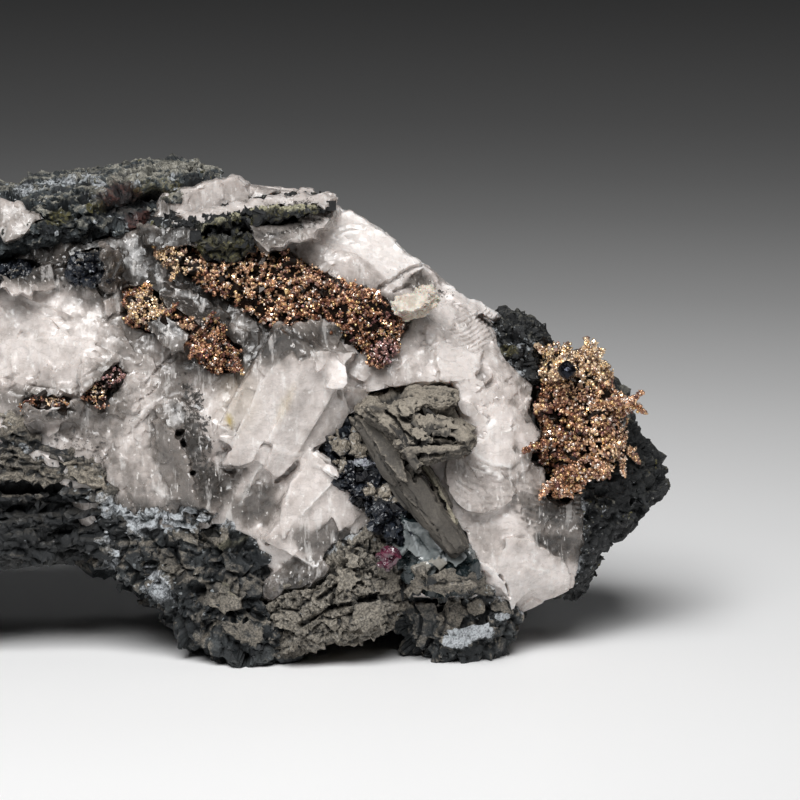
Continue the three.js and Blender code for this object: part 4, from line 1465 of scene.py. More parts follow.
flakeSlate = {
    "nodes": ["slate_flake"], "seed": 22, "voxel": 0.14, "budget": 20000, "tone": 0.4,
    "plates": [
        face(0.6, 0.42, 358, 419, 370, 418, 384, 432, 398, 450, 406, 470, 408, 482, 396, 476, 384, 458,
            372, 438, dust=0.18),
        face(0.9, 0.5, 372, 419, 390, 428, 402, 446, 408, 462, 414, 476, 408, 470, 398, 452, 384, 432,
            dust=0.25),
        face(1.1, 0.45, 390, 424, 402, 432, 412, 452, 420, 464, 416, 472, 408, 462, 402, 446, dust=0.2),
        face(0.8, 0.55, 410, 452, 424, 456, 440, 480, 450, 505, 444, 506, 428, 480, 414, 466, dust=0.25),
        face(1, 0.75, 422, 464, 428, 462, 446, 500, 458, 528, 452, 530, 438, 500, dust=0.5),
        face(0.5, 0.3, 404, 480, 420, 478, 440, 505, 462, 545, 456, 552, 430, 518, dust=0),
    ],
    "soften": 1, "smooth": 24,
    "fragments": [broken(1, 0.2, 0.2, 0.25, along=(0.55, 0, -0.83), long=5, gap=(0.1, 0.15))],
    "clouds": [(1.4, 0.06)],
    "cracks": [
        gash(1.8, 0.6, 1, 366, 417, 374, 421, 382, 428, 386, 430),
        gash(2, 0.7, 1, 386, 426, 396, 434, 402, 444, 404, 454, 406, 464, 412, 472, 416, 482),
        gash(1.2, 0.3, 1, 384, 432, 390, 438), gash(1.6, 0.5, 1, 416, 474, 421, 468, 424, 464),
        gash(1.6, 0.5, 1, 424, 470, 436, 488, 448, 510),
    ],
    "rims": [seam(1.8, 0.2, 0.3, 421, 462, 436, 484, 446, 504, 456, 524)], "dustUp": 0.2,
}
grow("flakeSlate", flakeSlate, slateFinish)

sulphidePocket = {
    "nodes": ["sulphide_pocket"], "seed": 31, "voxel": 0.14, "budget": 26000, "tone": 0.35,
    "chips": [bits(160, 0.8, 2.6, (1, 0.9, 0.5), 0.25, jitter=20), bits(300, 0.3, 0.9, (1, 0.9, 0.7), 0.2)],
    "plates": [
        face(0.9, 0.9, 325, 442, 332, 434, 340, 434, 345, 442, 342, 450, 332, 452, dust=1.7, calm=0.4),
        face(0.9, 0.9, 352, 430, 358, 425, 362, 432, 361, 440, 354, 438, dust=1.6, calm=0.4),
        face(0.8, 0.9, 332, 462, 344, 455, 348, 462, 344, 472, 336, 470, dust=1.6, calm=0.4),
        face(0.4, 1, 364, 432, 371, 430, 378, 440, 370, 450, 360, 448, crust=0.9, lean=(0.3, 0.3)),
        face(0.7, 0.8, 352, 448, 368, 446, 370, 454, 356, 457, dust=1.6, calm=0.3),
        face(0.6, 1, 350, 462, 364, 458, 376, 460, 374, 466, 356, 468, crust=1.2, calm=0.3),
        face(0.2, 0.5, 352, 475, 372, 468, 384, 472, 378, 484, 360, 486, lean=(0.3, 0.3)),
        face(1.2, 0.9, 364, 492, 372, 485, 388, 486, 396, 496, 398, 508, 388, 500, 372, 498, dust=1.7,
            calm=0.4),
        face(0.8, 0.3, 372, 500, 386, 502, 384, 516, 376, 524, 370, 512, lean=(0.3, -0.2)),
        face(-0.2, 0.2, 378, 440, 386, 455, 398, 478, 390, 480, 380, 462),
    ],
    "fragments": [broken(1.5, 0.6, 0.5, 0.5, gap=(0.2, 0.3)), broken(0.6, 0.5, 0.2, 0.4)],
    "clouds": [(1, 0.15)],
    "holes": [
        dent(344, 434, 6, 5, 0, 0.8), dent(366, 478, 14, 6, -20, 0.6, 0.4), dent(358, 505, 6, 10, 0, 0.8),
    ],
    "zones": {"crust": zone(level=0.15, cloud=0.5, cloudSize=0.8), "dust": zone(level=0.2, cloud=0.4)},
    "grains": [
        bits(900, 0.15, 0.45, (1, 0.8, 0.5), 0.05, power=2, vary={"tone": 0.4, "crust": 0.3, "dust": 0.25}),
    ],
    "dustUp": 0.15,
}
grow("sulphidePocket", sulphidePocket, sulphideFinish)

glossyPatch = {
    "voxel": 0.15, "budget": 8000, "tone": 0.3, "fragments": [broken(1, 0.5, 0.6, 0.6, gap=(0.25, 0.4))],
    "clouds": [(1.6, 0.8), (0.8, 0.25)], "pits": [(0.9, 0.5)],
    "zones": {"crust": zone(cloud=0.5, cloudSize=0.6), "dust": zone(level=0.1, cloud=0.5)},
    "grains": [bits(700, 0.14, 0.4, (1, 0.8, 0.6), 0, vary={"tone": 0.4, "crust": 0.4, "dust": 0.3})],
}
glossyPatches = {"sulphideSeam": ("sulphide_seam", -1.1), "sulphidePatchLeft": ("sulphide_patch_left", -0.1),
                 "sulphidePatchFarLeft": ("sulphide_patch_far_left", -0.2)}
for number, (name, (node, swell)) in enumerate(glossyPatches.items()):
    patchNow = {**glossyPatch, "nodes": [node], "seed": 35 + number, "swell": swell}
    grow(name, patchNow, sulphideFinish)

quartzFill = {
    "nodes": ["grey_quartz"], "seed": 33, "voxel": 0.16, "budget": 11000, "tone": 0.4, "soften": 2,
    "smooth": 28,
    "plates": [
        face(0.7, 0.75, 402, 518, 420, 522, 437, 545, 441, 558, 420, 560, 404, 548, lean=(0.3, 0.2)),
        face(0.4, 0.35, 422, 520, 440, 528, 457, 548, 446, 560, 434, 540, lean=(-0.3, 0)),
        face(0.7, 1, 408, 500, 420, 498, 424, 516, 410, 518),
        face(0.9, 0.9, 412, 566, 424, 562, 432, 566, 428, 573, 416, 573, dust=1.2),
        face(0.9, 0.9, 430, 562, 444, 557, 449, 563, 438, 570, dust=1),
        face(0.9, 1.2, 446, 550, 460, 546, 468, 556, 456, 568, 447, 562),
    ],
    "fragments": [broken(2.2, 0.35, 0.2, 0.9), broken(0.8, 0.2, 0, 0.4)], "clouds": [(1.4, 0.08)],
    "grains": [{**contactCrumbs, "count": 700, "add": {"dust": 0.5}, "vary": {"tone": 0.7, "dust": 0.7}}],
    "cracks": [gash(1.4, 0.2, 0.5, 404, 530, 416, 536, 428, 552)],
    "rims": [
        seam(1.6, 0.15, 0.9, 421, 522, 432, 536, 440, 549, 446, 560),
        seam(1.2, 0.1, 0.6, 404, 520, 414, 538, 420, 556), seam(2.6, 0.1, 0.9, 448, 552, 458, 548, 466, 556),
    ],
    "dustUp": 0.2,
}
grow("quartzFill", quartzFill, quartzFinish())

# the calcite vein

calciteVein = {
    "nodes": ["calcite_vein"], "seed": 41, "voxel": 0.19, "budget": 110000, "swell": 0.14, "tone": 0.72,
    "soften": 3, "smooth": 32, "plateLift": 0.5, "blend": 3,
    "chips": [
        bits(90, 2, 5, (1, 0.5, 0.18), 0.08, flat=True, jitter=7),
        bits(240, 0.8, 2.2, (1, 0.6, 0.2), 0.08, flat=True, jitter=10),
    ],
    "plates": [
        face(0.5, 0.82, 0, 293, 12, 298, 18, 306, 45, 325, 62, 331, 64, 337, 30, 336, 14, 325, 4, 311),
        face(0.6, 0.85, 0, 308, 12, 320, 17, 334, 22, 341, 10, 356, 0, 352, lean=(0.05, 0.05)),
        face(0.4, 0.72, 0, 279, 25, 284, 48, 288, 70, 300, 85, 312, 66, 318, 45, 310, 20, 303, 8, 296),
        face(0.5, 0.84, 18, 338, 64, 338, 96, 341, 90, 350, 78, 362, 68, 372, 40, 372, 30, 352,
            lean=(0, 0.12)),
        face(0.5, 0.76, 68, 318, 76, 311, 86, 310, 97, 317, 99, 330, 90, 339, 76, 340, 68, 332),
        face(0.3, 0.72, 10, 357, 22, 343, 32, 356, 37, 370, 25, 388, 12, 382, lean=(0.25, 0)),
        face(0.4, 0.6, 30, 380, 48, 363, 52, 374, 48, 394, 30, 403, lean=(-0.2, 0)),
        face(0.4, 0.74, 51, 371, 70, 363, 85, 351, 93, 351, 100, 365, 95, 380, 85, 395, 66, 398, 52, 386),
        face(0.7, 0.95, 46, 408, 62, 405, 65, 415, 60, 432, 49, 438, 44, 425),
        face(0.5, 0.8, 103, 300, 118, 294, 128, 305, 122, 312, 106, 318, lean=(0.3, 0.2)),
        face(0.4, 0.66, 112, 392, 140, 385, 155, 396, 148, 412, 134, 420, 126, 436, 112, 440, 106, 420,
            lean=(0.1, 0.1), calm=0.5),
        face(0.6, 1, 135, 420, 146, 404, 153, 401, 155, 405, 146, 414, 138, 421),
        face(0.4, 0.62, 112, 452, 130, 442, 152, 448, 160, 470, 140, 486, 120, 486, calm=0.5),
        face(0.4, 0.58, 152, 450, 176, 458, 190, 480, 188, 500, 170, 510, 150, 506, 145, 488, 161, 471,
            lean=(-0.1, 0.1), calm=0.5),
        face(0.5, 0.8, 198, 414, 206, 405, 224, 405, 238, 420, 232, 444, 212, 452, 199, 440, calm=0.5),
        face(0.6, 0.55, 156, 420, 172, 430, 184, 450, 192, 476, 198, 506, 184, 508, 168, 484, 156, 452,
            over=True, calm=0.2, thick=2.6),
        face(0.6, 0.35, 186, 404, 198, 418, 206, 440, 212, 462, 218, 484, 220, 506, 202, 508, 196, 480,
            189, 452, 180, 428, over=True, calm=0.2, thick=2.6),
        *(cover(0.5, 0.85, edge=edge) for edge in bandCovers[:1] + bandCovers[2:]),
        *(cover(0.3, 0.5, edge=edge) for edge in tuftCovers),
        *(cover(0.4, 0.66, edge=edge) for edge in farFleckCovers + nearFleckCovers),
        *(face(0.5, 0.95, edge=edge, over=True, calm=0.1) for edge in patchCovers + ledgeCovers),
        face(0.5, 0.5, 156, 402, 174, 397, 188, 404, 186, 424, 172, 434, 158, 424, over=True, calm=0.2),
        face(1.2, 0.72, 222, 465, 232, 448, 243, 425, 252, 405, 262, 385, 270, 372, 282, 360, 292, 352,
            300, 362, 296, 380, 289, 398, 280, 415, 272, 430, 262, 445, 253, 462, 240, 468, thick=3,
            flare=1.02, calm=0.9, ragged=0.4),
        face(1, 0.66, 301, 362, 315, 352, 330, 350, 342, 368, 345, 392, 350, 410, 345, 424, 330, 438,
            315, 450, 300, 455, 285, 450, 273, 444, 265, 442, 273, 430, 290, 398, 297, 380, thick=3,
            flare=1.02, calm=0.85),
        face(1.4, 1.02, 262, 449, 272, 445, 268, 458, 255, 476, 244, 492, 236, 506, 234, 496, 240, 480,
            252, 464, thick=2.6, flare=1.1, calm=0.9),
        face(1, 0.74, 273, 447, 300, 456, 291, 466, 279, 478, 264, 470, calm=0.9),
        face(1.3, 1.02, 324, 388, 337, 368, 330, 360, 338, 358, 346, 368, 348, 384, 343, 391, lean=(-0.15, 0),
            calm=0.9),
        face(1.1, 0.72, 314, 360, 326, 332, 332, 346, 340, 350, 330, 362, 318, 372, lean=(0, -0.2)),
        face(0.7, 0.55, 348, 356, 360, 352, 374, 358, 376, 370, 364, 384, 350, 376),
        face(0.8, 0.72, 350, 386, 366, 388, 368, 400, 356, 410, 348, 402),
        face(1, 0.74, 284, 500, 292, 480, 300, 470, 318, 468, 334, 478, 322, 496, 305, 512, 297, 520,
            290, 530, 282, 540, 280, 520, thick=3, calm=0.95),
        face(0.8, 0.56, 335, 480, 322, 497, 304, 513, 298, 521, 312, 533, 323, 526, 332, 516, 330, 498,
            337, 489, lean=(-0.1, 0.12), calm=0.95),
        face(0.9, 0.76, 337, 489, 346, 490, 355, 504, 362, 515, 350, 526, 338, 533, 333, 515, 331, 499,
            lean=(0.1, 0), calm=0.9),
        face(1.1, 0.9, 299, 455, 312, 450, 320, 456, 336, 470, 338, 478, 318, 467, 300, 468),
        face(0.3, 0.2, 298, 522, 312, 534, 325, 527, 336, 533, 350, 528, 345, 540, 328, 546, 312, 548,
            304, 552, 290, 538, calm=0.5),
        face(1.2, 0.95, 258, 540, 268, 545, 280, 542, 296, 541, 298, 550, 285, 562, 275, 570, 268, 570,
            262, 560, lean=(0.2, 0.1)),
        face(0.5, -0.3, 276, 571, 300, 550, 322, 560, 330, 570, 315, 582, 300, 588, 285, 590, 272, 602,
            262, 596, 263, 580, calm=0.7),
        face(0.5, 0.85, 160, 205, 180, 190, 205, 183, 225, 176, 245, 183, 240, 200, 225, 210, 205, 220,
            190, 224, 172, 214, lean=(0, 0.1), thick=3, over=True, calm=0.1),
        face(0.8, 0.4, 232, 198, 240, 190, 248, 190, 252, 202, 246, 212, 234, 212, over=True),
        face(0.5, 0.1, 161, 204, 186, 218, 176, 226, 156, 220, over=True),
        cover(0.3, 0.55, 4, 201, 15, 207, 35, 211, 38, 222, 28, 234, 8, 238, 0, 228, 0, 204, ragged=3),
        face(1.6, 1, 252, 192, 275, 194, 300, 196, 322, 200, 318, 206, 290, 208, 262, 209, 250, 206, calm=0.2,
            thick=4),
        face(2, 1.15, 296, 196, 302, 188, 312, 190, 322, 199, 308, 203, calm=0.3),
        face(0.8, 0.95, 60, 240, 74, 230, 92, 228, 88, 238, 78, 245, 64, 246),
        face(-0.9, 0.6, 250, 230, 280, 224, 310, 216, 332, 210, 334, 222, 314, 236, 286, 247, 264, 250,
            over=True, calm=0.1, thick=4.5, lean=(0, -0.8)),
        cover(0, 0.15, 140, 226, 170, 222, 200, 226, 200, 244, 170, 248, 146, 246, thick=4.5),
        face(1, 1.12, 300, 232, 330, 214, 352, 212, 380, 232, 400, 250, 425, 266, 410, 276, 396, 288,
            384, 300, 368, 303, 350, 293, 330, 283, 310, 271, 292, 254, 286, 242, calm=0.85, thick=3.5,
            flare=1, snow=0.3),
        face(1, 1.1, 434, 320, 437, 310, 444, 303, 456, 310, 458, 320, 450, 328, 438, 328, calm=0.6),
        face(0.8, 0.8, 437, 329, 450, 329, 450, 337, 438, 337),
        face(0.3, 0.85, 396, 345, 410, 326, 417, 318, 421, 330, 416, 348, 425, 358, 438, 353, 438, 384,
            415, 386, 400, 373, calm=0.5),
        face(0.7, 1.15, 439, 341, 452, 345, 470, 353, 482, 351, 478, 366, 470, 378, 455, 383, 441, 379,
            437, 362, calm=0.7),
        face(0.5, 0.6, 488, 351, 497, 348, 502, 372, 493, 369, 487, 358),
        face(1.2, 1.15, 446, 281, 456, 290, 468, 297, 480, 302, 498, 314, 494, 319, 475, 312, 464, 304,
            452, 300, 444, 290, calm=0.5),
        face(0.3, 0.8, 457, 405, 470, 400, 480, 412, 490, 420, 478, 438, 472, 434, 462, 425),
        face(0.4, 0.95, 490, 405, 512, 405, 522, 412, 528, 425, 514, 419, 500, 424, 492, 420),
        face(0.8, 0.92, 490, 425, 512, 420, 516, 435, 514, 452, 520, 458, 510, 467, 495, 465, 481, 458,
            471, 450, 476, 444, 486, 438, flare=1.05),
        face(0.4, 0.85, 516, 421, 528, 426, 541, 432, 536, 447, 522, 450, 515, 444),
        face(2.8, 0.42, 446, 460, 470, 454, 486, 462, 504, 474, 517, 488, 512, 501, 498, 510, 482, 514,
            466, 512, 454, 502, 446, 482, calm=0.3, ragged=0.4, flare=1, lean=(0.12, -0.25)),
        face(0.7, 0.95, 500, 521, 514, 512, 525, 524, 528, 534, 510, 536, 504, 530),
        face(0.3, 0.5, 470, 529, 490, 526, 500, 536, 504, 560, 498, 575, 480, 562, 470, 550),
        face(1, 0.97, 506, 536, 530, 539, 555, 556, 566, 562, 569, 570, 566, 582, 555, 587, 540, 588,
            529, 592, 520, 600, 512, 613, 508, 600, 505, 585, 499, 575, 500, 560, flare=1.02, thick=4),
        face(1.1, 1.1, 478, 560, 490, 566, 500, 580, 507, 596, 495, 581, 483, 571),
        face(0.6, -0.4, 532, 534, 545, 531, 553, 541, 548, 549, 536, 543),
        face(0.3, 0.2, 556, 541, 580, 536, 588, 546, 575, 560, 561, 556),
    ],
    "fragments": [
        broken(3.4, 0.06, 0, 0.16), broken(1.4, 0.08, 0, 0.18),
        broken(0.8, 0.22, 0.06, 0.5, spots=[oval(470, 350, 50, 50), oval(505, 430, 34, 60),
            oval(340, 235, 50, 18, 20), oval(410, 350, 26, 34), oval(480, 545, 20, 30),
            oval(130, 420, 44, 60), oval(215, 440, 20, 40)]),
        broken(1, 0.14, 0, 0.22, along=(0.5, 0.1, 0.86), long=4, spots=[oval(300, 430, 80, 100, 0, 1, 0.5)]),
        broken(1.2, 0.16, 0.12, 0.25, along=(0.8, 0.1, -0.5), long=3.5,
            spots=[oval(60, 350, 80, 80, 0, 1, 0.5)]),
    ],
    "clouds": [(5, 0.35), (1.4, 0.06)],
    "ribs": [
        ridges(372, 252, 50, 30, 38, 9, 0.16, -0.006, 0.3, 0.5),
        ridges(345, 240, 26, 16, -20, 7, 0.18, -0.012, 0.4, 0.5),
        ridges(475, 330, 32, 22, -30, 4.6, 0.2, 0.008, 0.5, 0.5),
        ridges(462, 366, 22, 14, -8, 5, 0.18, 0.006, 0.25),
        ridges(480, 484, 30, 24, 24, 7, 0.22, 0.01, 0.6, 1),
        ridges(555, 510, 46, 26, 10, 5, 0.16, 0.001, 1.1, 0.5), ridges(530, 570, 36, 24, -32, 12, 0.1, 0.004),
        ridges(300, 410, 44, 56, -58, 6.5, 0.04, 0, 0.1), ridges(290, 480, 40, 40, -50, 5, 0.04, 0, 0.14),
        ridges(443, 333, 9, 6, 0, 3.4, 0.2, 0, 0.6, 0),
    ],
    "holes": [
        dent(48, 312, 26, 5, 20, 0.4, 0), dent(262, 516, 17, 15, 0, 0.4, 0), dent(326, 446, 12, 3, -30, 0.6),
        dent(483, 374, 6, 7, 0, 0.7, 0.9), dent(490, 383, 5, 3, -30, 0.6, 1),
        dent(395, 322, 12, 12, 0, 0.8, 0.3), dent(342, 394, 3, 6, 0, 0.3, 1),
        dent(128, 290, 5, 8, 0, 0.6, 0.95), dent(12, 378, 8, 3, -20, 0.3, 0.5),
        dent(40, 402, 9, 4, 0, 0.4, 0.5), dent(68, 408, 4, 2, 50, 0.4, 1),
        dent(440, 292, 12, 10, 0, 0.5, 0.5), dent(230, 470, 7, 4, 40, 0.5, 0.9),
        dent(345, 340, 26, 10, 4, 0.8, 0),
    ],
    "cracks": [
        gash(2, 0.4, 0.7, 276, 482, 285, 476, 294, 466),
        gash(2.6, 0.5, 0.9, 372, 296, 384, 285, 398, 277, 410, 269, 424, 264),
        gash(2.2, 0.3, 0.7, 424, 266, 434, 276, 442, 289, 460, 303, 474, 312),
        gash(2.2, 0.4, 0.8, 394, 291, 408, 286, 424, 290),
        gash(1.4, 0.2, 0.4, 26, 396, 34, 384, 40, 372, 47, 364),
        gash(2, 0.4, 0.9, 108, 320, 114, 315, 124, 313, 130, 318),
        gash(1.5, 0.3, 0.9, 146, 383, 156, 372, 164, 362, 172, 354),
        gash(1.2, 0.2, 0.6, 140, 400, 150, 394, 158, 384), gash(1.4, 0.4, 0.5, 500, 575, 506, 584, 510, 598),
        gash(3, 0.6, 0.3, 290, 256, 312, 276, 335, 290, 360, 302, 385, 306),
        gash(1.8, 0.05, 0.1, 290, 395, 282, 412, 275, 424),
    ],
    "rims": [
        seam(1.3, 0.08, 0.5, 222, 463, 243, 423, 262, 383, 280, 361),
        seam(1.3, 0.08, 0.8, 302, 514, 336, 478), seam(2.2, 0.12, 1, 318, 466, 328, 471, 338, 480),
        seam(1.1, 0.06, 0.5, 330, 500, 336, 515, 342, 532), seam(1.2, 0.1, 0.7, 278, 568, 298, 549),
        seam(2, 0.1, 1, 303, 560, 315, 567), seam(1.3, 0.08, 0.8, 133, 420, 142, 414, 152, 402),
        seam(1.6, 0.1, 0.9, 470, 450, 482, 458, 495, 465, 510, 467),
        seam(1.2, 0.1, 0.9, 478, 462, 490, 468, 503, 476),
        seam(1.4, 0.1, 1, 474, 468, 482, 472, 492, 473, 502, 477),
        seam(1.4, 0.08, 0.9, 480, 562, 492, 568, 503, 582, 510, 600, 512, 612),
        seam(1.6, 0.08, 0.45, 286, 244, 310, 268, 330, 281, 352, 293, 372, 301),
        seam(2.4, 0.08, 1, 336, 210, 360, 216, 385, 234, 405, 252, 428, 268),
        seam(2.6, 0.08, 1, 448, 283, 466, 296, 482, 303, 500, 317),
        seam(1.2, 0.08, 0.6, 300, 454, 312, 449, 322, 456, 334, 466),
        seam(1.3, 0.08, 0.8, 205, 408, 210, 420, 218, 426, 228, 430),
        seam(1.2, 0.08, 0.7, 218, 404, 225, 412),
        seam(1.4, 0.06, 0.5, 328, 337, 332, 348, 340, 352, 360, 352, 376, 357),
        seam(1.2, 0.05, 0.6, 272, 446, 286, 450, 300, 455),
        seam(1.2, 0.05, 0.6, 244, 495, 256, 474, 270, 448), seam(1, 0.05, 0.5, 240, 505, 252, 484, 262, 470),
        seam(1.1, 0.05, 0.4, 0, 308, 14, 322, 22, 340, 60, 337), seam(1.6, 0.1, 1, 507, 432, 514, 427),
        seam(2.4, 0.1, 1, 532, 568, 548, 571), seam(3, 0.1, 0.7, 155, 486, 162, 494, 172, 497),
    ],
    "near": 0.6,
    "zones": {
        "stain": zone(
            oval(230, 420, 2.5, 7, -15, 0.9, 0.8), oval(240, 400, 18, 26, 0, 0.1, 0.9),
            oval(286, 404, 4, 18, 25, 0.2, 0.8), ragged=1.5),
        # dim: calcite painted greyer where it is clear over dark rock; the spots under the silver band and
        # along the lens's lower edge are painted shade
        "dim": zone(
            oval(150, 508, 60, 12, 4, 0.9, 0.6), oval(170, 400, 26, 30, 0, 0.55, 0.7),
            oval(60, 262, 100, 24, 2, 1.25, 0.6), oval(140, 275, 50, 44, -10, 1.05, 0.6),
            oval(205, 300, 40, 30, 25, 1.2, 0.7), oval(268, 345, 72, 22, -6, 1.15, 0.7),
            oval(190, 372, 50, 34, -10, 0.6, 0.7), oval(135, 345, 32, 28, 0, 0.5, 0.7),
            oval(90, 425, 50, 30, 0, 0.5, 0.7), oval(22, 402, 34, 18, 0, 0.4, 0.7),
            oval(196, 440, 20, 56, -10, 0.55, 0.8), oval(222, 484, 30, 22, -20, 0.85, 0.6),
            oval(255, 500, 24, 22, 0, 0.9, 0.5), oval(262, 238, 48, 18, 14, 0.35, 0.7),
            oval(330, 292, 60, 7, 26, 0.6, 0.5), oval(400, 318, 20, 22, 0, 0.6, 0.6),
            oval(350, 342, 30, 11, 0, 0.55, 0.6), oval(402, 355, 14, 28, 0, 0.3, 0.7),
            oval(325, 540, 42, 14, 0, 0.7, 0.6), oval(558, 512, 46, 22, 10, 0.8, 0.6),
            oval(562, 546, 28, 15, 15, 1, 0.5), oval(455, 440, 20, 30, 0, 0.25, 0.8),
            oval(416, 282, 20, 9, 0, 0.7, 0.5), oval(150, 474, 44, 40, 0, 0.5, 0.6),
            oval(525, 470, 14, 30, -20, 0.3, 0.7), cloud=0.2, cloudSize=2.2, ragged=7),
        "grime": zone(
            oval(60, 258, 100, 26, 2, 0.45, 0.6), oval(196, 430, 16, 60, -10, 0.8),
            oval(414, 276, 26, 12, 0, 0.4), oval(240, 485, 34, 20, 0, 0.4), oval(110, 400, 40, 14, 0, 0.3),
            oval(80, 440, 40, 14, 0, 0.5), oval(262, 236, 34, 10, 0, 0.4), oval(265, 205, 12, 12, 0, 0.45),
            oval(440, 294, 26, 10, 0, 0.6), oval(150, 425, 40, 8, 0, 0.45), oval(150, 514, 66, 10, 4, 0.75),
            oval(100, 475, 16, 30, 0, 0.5), ragged=8),
    },
    "grains": [
        bits(3000, 0.15, 0.6, (1, 0.8, 0.6), 0, shards=True, contact="dark", reach=0.75, add={"grime": 0.1},
            vary={"tone": 0.45, "grime": 0.55}),
        # small tilted shards painted bright: painted glints
        bits(1300, 0.1, 0.34, (1, 0.7, 0.25), 0, power=2.2, shards=True, flat=True, jitter=22,
            add={"tone": 0.25, "bright": 0.35}, vary={"tone": 0.3, "bright": 0.3}),
        bits(2200, 0.15, 0.45, (1, 0.7, 0.3), 0, power=2, shards=True, flat=True, jitter=26, add={"tone": 0.3,
            "bright": 0.6}, vary={"tone": 0.3, "bright": 0.3}, where=[oval(480, 486, 34, 26, 0, 0.9),
            oval(330, 240, 60, 26, 24, 0.6), oval(265, 236, 40, 12, 0, 0.7), oval(375, 275, 26, 18, 0, 0.6),
            oval(410, 365, 20, 22, 0, 0.6), oval(455, 345, 36, 30, 0, 0.5), oval(290, 205, 46, 10, 0, 1),
            oval(85, 325, 20, 20, 0, 0.4), oval(470, 306, 36, 10, 34, 1), oval(120, 410, 40, 30, 0, 0.25)]),
    ],
}
grow("calciteVein", calciteVein, calcite)

creamFlake = {
    "nodes": ["cream_calcite_flake"], "seed": 42, "voxel": 0.1, "budget": 6000,
    "plates": [face(0.7, 0.7, 392, 302, 402, 300, 418, 292, 428, 296, 424, 306, 412, 312, 398, 310)],
    "fragments": [broken(0.9, 0.3, 0.2, 0), broken(0.4, 0.3, 0.1, 0)],
}
grow("creamFlake", creamFlake, creamFinish)

rubyCrystal = {
    "nodes": ["ruby_silver_crystal"], "seed": 43, "voxel": 0.08, "budget": 4000,
    "chips": [bits(26, 0.5, 1.1, (1, 0.8, 0.6), 0.3)], "fragments": [broken(0.7, 0.4, 0.2, 0)],
}
grow("rubyCrystal", rubyCrystal, rubyFinish)

acanthiteBead = {
    "nodes": ["acanthite_bead"], "seed": 44, "voxel": 0.07, "budget": 4000, "smooth": 60,
    "clouds": [(0.8, 0.05)],
}
grow("acanthiteBead", acanthiteBead, beadFinish)

# silver

silverDefaults = {
    "voxel": 0.26, "knots": broken(1.5, 0.5, 0.8, 0, gap=(0.4, 0.7)), "dusk": 0.0, "prongs": [],
    "gold": [], "violet": [], "shade": [],
}


